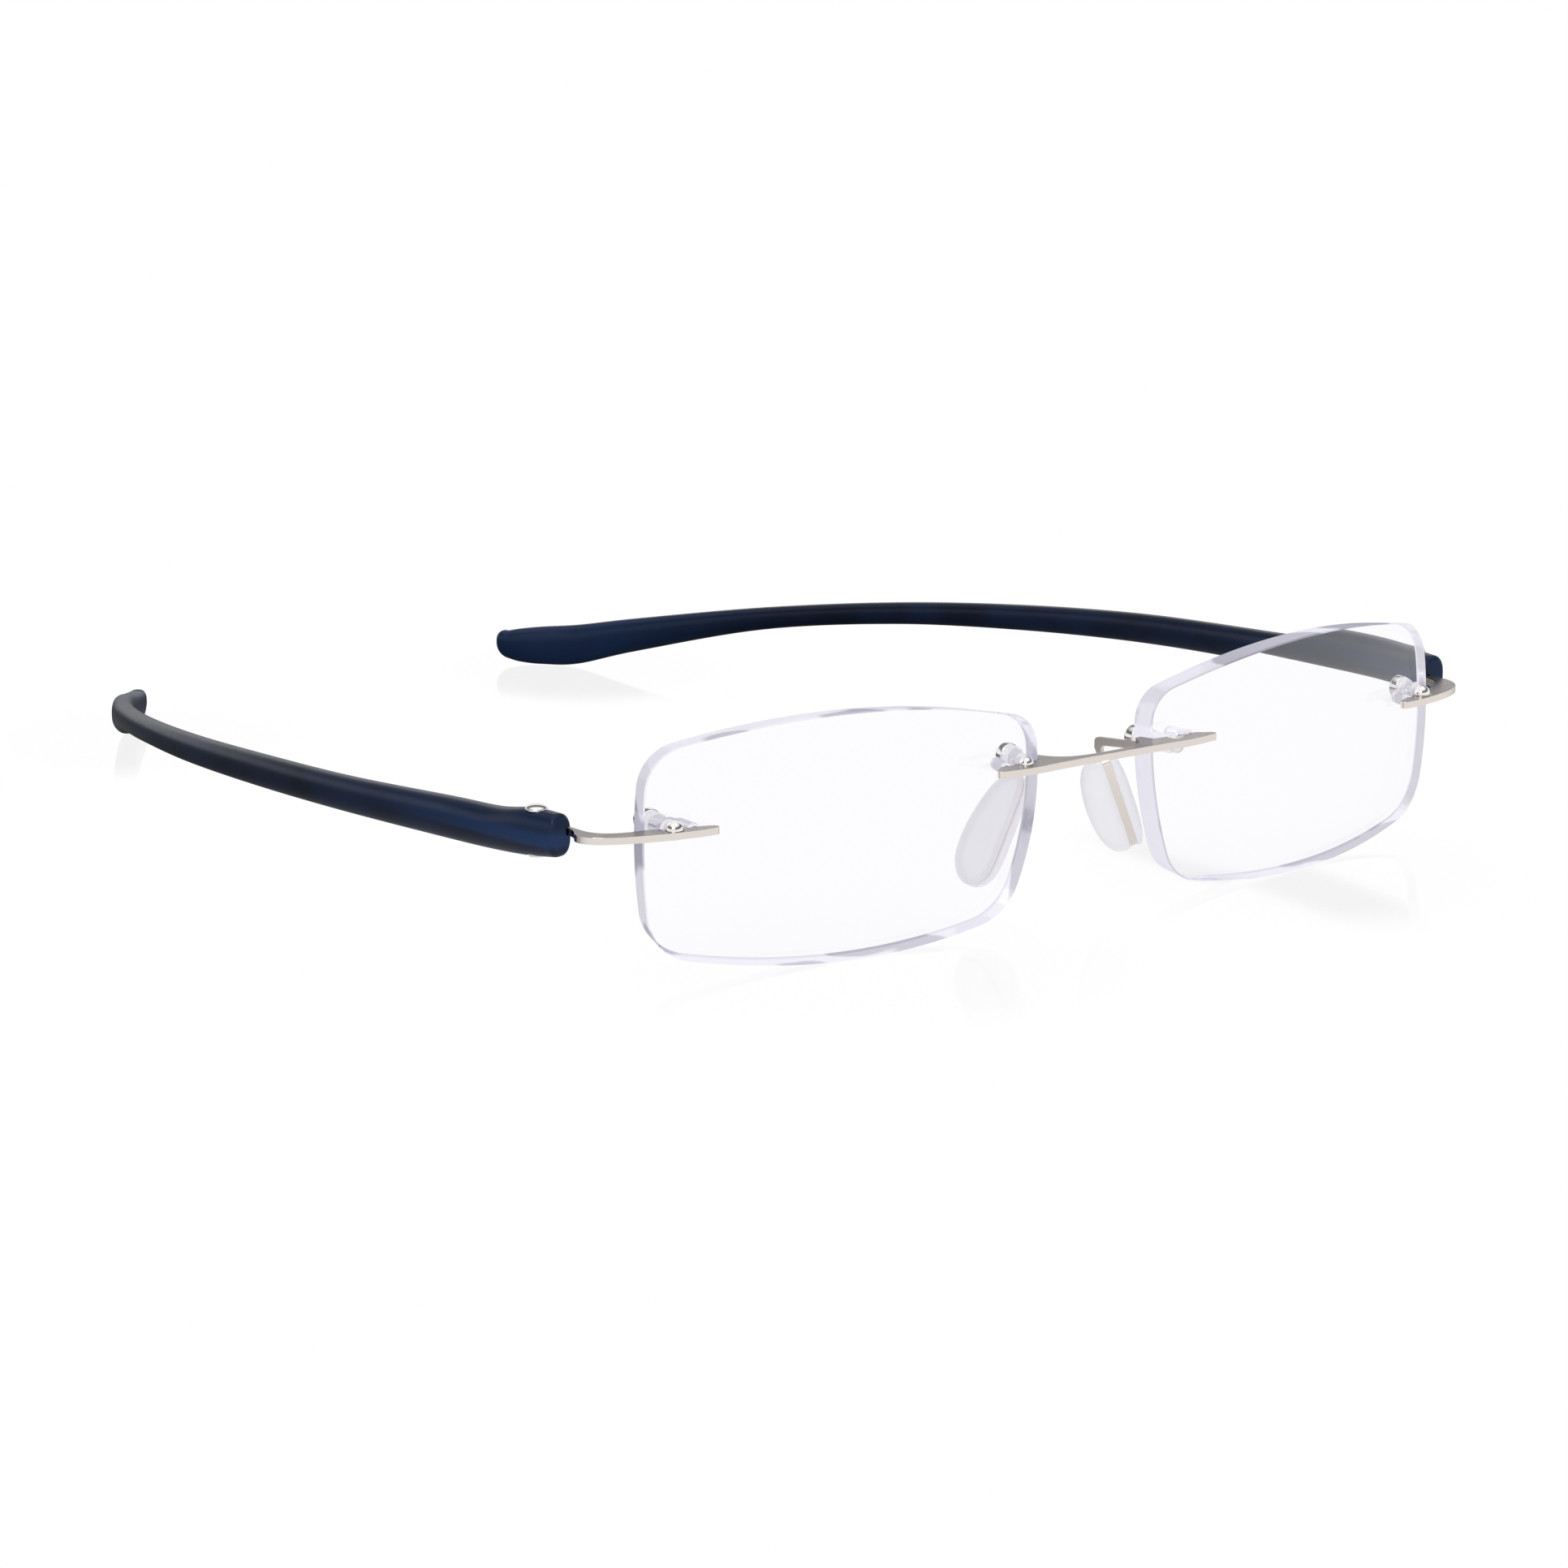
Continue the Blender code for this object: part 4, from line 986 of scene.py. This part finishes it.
def temple_rings(side):
    """Sections along the arm, with rounded ends."""
    path = smooth_through([(x, y, z, h, w) for y, x, z, h, w in TEMPLE_STATIONS], 9)
    stations = []
    for i, (x, y, z, h, w) in enumerate(path):
        ahead, behind = path[min(i + 1, len(path) - 1)], path[max(i - 1, 0)]
        heading = math.atan2(behind[0] - ahead[0], ahead[1] - behind[1])
        z, h = own_shape(side, y, z, h)
        stations.append((Vector((x, y, z)), heading, h, w))
    rings = []
    for end, reach, keep, lift in TEMPLE_ENDS:
        centre, heading, h, w = stations[end]
        forward = Vector((-math.sin(heading), math.cos(heading), 0)) * (-1 if end == 0 else 1)
        caps = []
        for angle in END_ANGLES:
            a = math.radians(angle)
            scale = keep + (1 - keep) * math.cos(a)
            rise = Vector((0, 0, lift * math.sin(a)))
            caps.append((centre + forward * reach * math.sin(a) + rise, heading, h * scale,
                         w * scale))
        rings.append(caps)
    ordered = rings[0] + stations + rings[1][::-1]
    result = []
    for centre, heading, h, w in ordered:
        ring = temple_section(centre, heading, h, w)
        result.append([Vector((side * p.x, p.y, p.z)) for p in ring])
    return result


def build_temple(name, side):
    """Arm with a slot for the end plate, bored for the rivet and pocketed for the washers."""
    temple = loft(name, temple_rings(side), fan=True)
    room = EYE_RADIUS + 2 * FIT
    mouth = [(SLOT_INNER_X, SLOT_FRONT_Y), (65.1, SLOT_FRONT_Y), (65.1, 11.6), (65.4, 12.3),
             (66.5, 13.4)]
    around = arc(HINGE_X, HINGE_Y, room, -15, 90, 16)
    outline = mirrored(mouth + around + [(SLOT_INNER_X, HINGE_Y + room)], side)
    level = Matrix.Translation((0, 0, END_PLATE_Z))
    slot = sheet(name + "_slot", [outline], SHEET + 4 * FIT, level)
    temple = combine(temple, slot, "DIFFERENCE")
    where = Matrix.Translation((side * HINGE_X, HINGE_Y, 0))
    pocket = SHEET / 2 + 2 * FIT + WASHER_THICKNESS
    below, above = HINGE_DRILL
    bores = ((RIVET_RADIUS + FIT, below, above),
             (WASHER_RADIUS + FIT, END_PLATE_Z - pocket, END_PLATE_Z + pocket),
             (RIVET_HEAD_RADIUS + 2 * FIT, RIVET_TOP_SEAT + TEMPLE_LIFT[side], above),
             (RIVET_FOOT_RADIUS + 2 * FIT, below, RIVET_FOOT_SEAT + TEMPLE_LIFT[side]))
    for radius, low, high in bores:
        temple = combine(temple, cylinder(name + "_bore", radius, low, high, where), "DIFFERENCE")
    return temple


def build_rivet(name, side):
    """Shank with a domed head on top of the temple and a low formed head under it."""
    top = RIVET_TOP_SEAT + TEMPLE_LIFT[side] + FIT
    bottom = RIVET_FOOT_SEAT + TEMPLE_LIFT[side] - FIT
    rise = RIVET_HEAD_HEIGHT - RIVET_RIM
    steps = 16
    profile = []
    for i in range(steps + 1):
        a = math.radians(90 * i / steps)
        profile.append((RIVET_HEAD_RADIUS * math.sin(a), top + RIVET_RIM + rise * math.cos(a)))
    end = bottom - 2 * RIVET_RIM
    profile += [(RIVET_HEAD_RADIUS, top + RIVET_EDGE), (RIVET_HEAD_RADIUS - RIVET_EDGE, top),
                (RIVET_RADIUS, top), (RIVET_RADIUS, bottom), (RIVET_FOOT_RADIUS, bottom),
                (RIVET_FOOT_RADIUS - RIVET_RIM, end), (0.0, end)]
    return revolve(name, profile, Matrix.Translation((side * HINGE_X, HINGE_Y, 0)), 56)


# ---------------------------------------------------------------- stage
def seen_directly(t):
    """1 for rays from the camera, also behind clear pieces, and 0 for reflections."""
    path = t.node("ShaderNodeLightPath")
    return t.math("MAXIMUM", path.outputs["Is Camera Ray"], path.outputs["Is Transmission Ray"])


def build_floor():
    """White floor that glows evenly, with sheen only round what rests on it."""
    bm = bmesh.new()
    bmesh.ops.create_grid(bm, x_segments=2, y_segments=2, size=FLOOR_SIZE)
    floor = object_from_bmesh(bm, "studio_floor")
    floor.location.z = (FLOOR_Z - ORIGIN.z) * MM
    mat, t = new_material("studio_floor")
    where = t.node("ShaderNodeTexCoord").outputs["Object"]
    # dimmer behind the object for everything but the direct view, so its mirror image stays dark
    back = t.node("ShaderNodeSeparateXYZ", Vector=where).outputs["Y"]
    in_reflections = t.spread(back, *FLOOR_DIMS_Y, *FLOOR_LIGHT)
    glow = t.glow(WHITE, t.math("MAXIMUM", in_reflections, seen_directly(t)))
    gloss = t.node("ShaderNodeBsdfGlossy", Color=colour(0.95, 0.95, 1.0), Roughness=0.08)
    # patches of sheen round the points that rest on the floor
    sheen = 0.0
    for x, y, reach in FLOOR_CONTACTS:
        for side in SIDES.values():
            gap = t.node("ShaderNodeVectorMath", {"operation": "DISTANCE"})
            t.feed(gap, "0", where)
            t.feed(gap, "1", (side * x, y, 0.0))
            patch = t.spread(gap.outputs["Value"], reach / 2, reach, 1.0, 0.0)
            sheen = t.math("MAXIMUM", sheen, patch)
    t.finish(t.blend(t.math("MULTIPLY", sheen, FLOOR_SHEEN), glow, gloss.outputs[0]))
    floor.data.materials.append(mat)


def build_world():
    """Soft studio surround: pure white to the camera, with a dim band that shapes the metal."""
    world = bpy.data.worlds.new("studio")
    bpy.context.scene.world = world
    t = Tree(world)
    where = t.node("ShaderNodeTexCoord").outputs["Generated"]
    z = t.node("ShaderNodeSeparateXYZ", Vector=where).outputs["Z"]
    near_horizon = t.spread(z, 0.30, 0.48, 1.0, 0.15)
    overhead = t.spread(z, 0.60, 0.92, 0.0, 1.0)
    to_the_camera = t.math("MULTIPLY", seen_directly(t), 1.05)
    level = t.math("MAXIMUM", t.math("ADD", near_horizon, overhead), to_the_camera)
    back = t.node("ShaderNodeBackground", Color=WHITE, Strength=level)
    t.node("ShaderNodeOutputWorld", Surface=back.outputs[0])


def build_light():
    """Soft white box of light up in front, on the wearer's right."""
    lamp = bpy.data.lights.new("key_softbox", "AREA")
    lamp.shape = "RECTANGLE"
    lamp.size, lamp.size_y = KEY_SIZE
    lamp.energy = KEY_POWER
    lamp.color = (1, 1, 1)
    obj = bpy.data.objects.new("key_softbox", lamp)
    obj.location = KEY_AT
    aim = Vector(KEY_AIM) - Vector(KEY_AT)
    obj.rotation_euler = aim.to_track_quat("-Z", "Y").to_euler()
    bpy.context.scene.collection.objects.link(obj)
    obj.visible_camera = False


def build_camera():
    """Camera at the photo's angle: in front, a little above, on the wearer's right."""
    data = bpy.data.cameras.new("camera")
    data.sensor_width = CAMERA_SENSOR
    data.lens = CAMERA_LENS
    data.clip_start = 0.01
    data.clip_end = 50.0
    camera = bpy.data.objects.new("camera", data)
    camera.location = CAMERA_AT
    camera.rotation_euler = [math.radians(a) for a in CAMERA_TURN]
    bpy.context.scene.collection.objects.link(camera)
    bpy.context.scene.camera = camera


# ---------------------------------------------------------------- assembly
def main():
    clear_face = lens_material()
    clear_rim = lens_rim_material()
    metal = satin_metal_material()
    chrome = chrome_material()
    plastic = clear_plastic_material()
    silicone = silicone_material()
    navy = navy_material()
    nylon = nylon_material()

    place(build_bridge("bridge"), metal, "front", ["bridge_plate"], 20.0)
    for word, side in SIDES.items():
        lens = place(build_lens("lens_polished_" + word, side), [clear_face, clear_rim], "front",
                     ["lens_" + word], 15.0)
        polish_lens(lens, side)
        place(build_end_plate("end_strip_" + word, side), metal, "front", ["end_plate_" + word],
              20.0)
        for spot, fitting in zip(("temporal", "nasal"), fitting_places(side)):
            z, ball_z, ball, pin_u, peg_u = fitting
            tag = spot + "_" + word
            place(build_pin("ball_pin_" + tag, side, pin_u, ball_z, ball), chrome, "front",
                  ["pin_" + tag])
            place(build_sleeve("clear_sleeve_" + tag, side, pin_u, ball_z), plastic, "front",
                  ["sleeve_" + tag])
            place(build_cap("end_cap_" + tag, side, pin_u, ball_z), chrome, "front",
                  ["cap_" + tag])
            place(build_peg("clear_peg_" + tag, side, peg_u, z), plastic, "front",
                  ["peg_" + tag])
        place(build_pad_arm("pad_ribbon_" + word, side), metal, "front", ["pad_arm_" + word],
              20.0)
        place(build_nose_pad("soft_pad_" + word, side), silicone, "front", ["nose_pad_" + word],
              40.0)
        body = "temple_" + word + "_body"
        place(build_temple("temple_arm_" + word, side), navy, body, ["temple_" + word])
        place(build_rivet("rivet_" + word, side), chrome, body, ["hinge_rivet_" + word])
        for level in ("upper", "lower"):
            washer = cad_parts["washer_" + level + "_" + word]
            washer.data.materials.clear()
            washer.data.materials.append(nylon)

    build_floor()
    build_world()
    build_light()
    build_camera()
    bpy.context.scene.view_settings.view_transform = "Standard"


main()
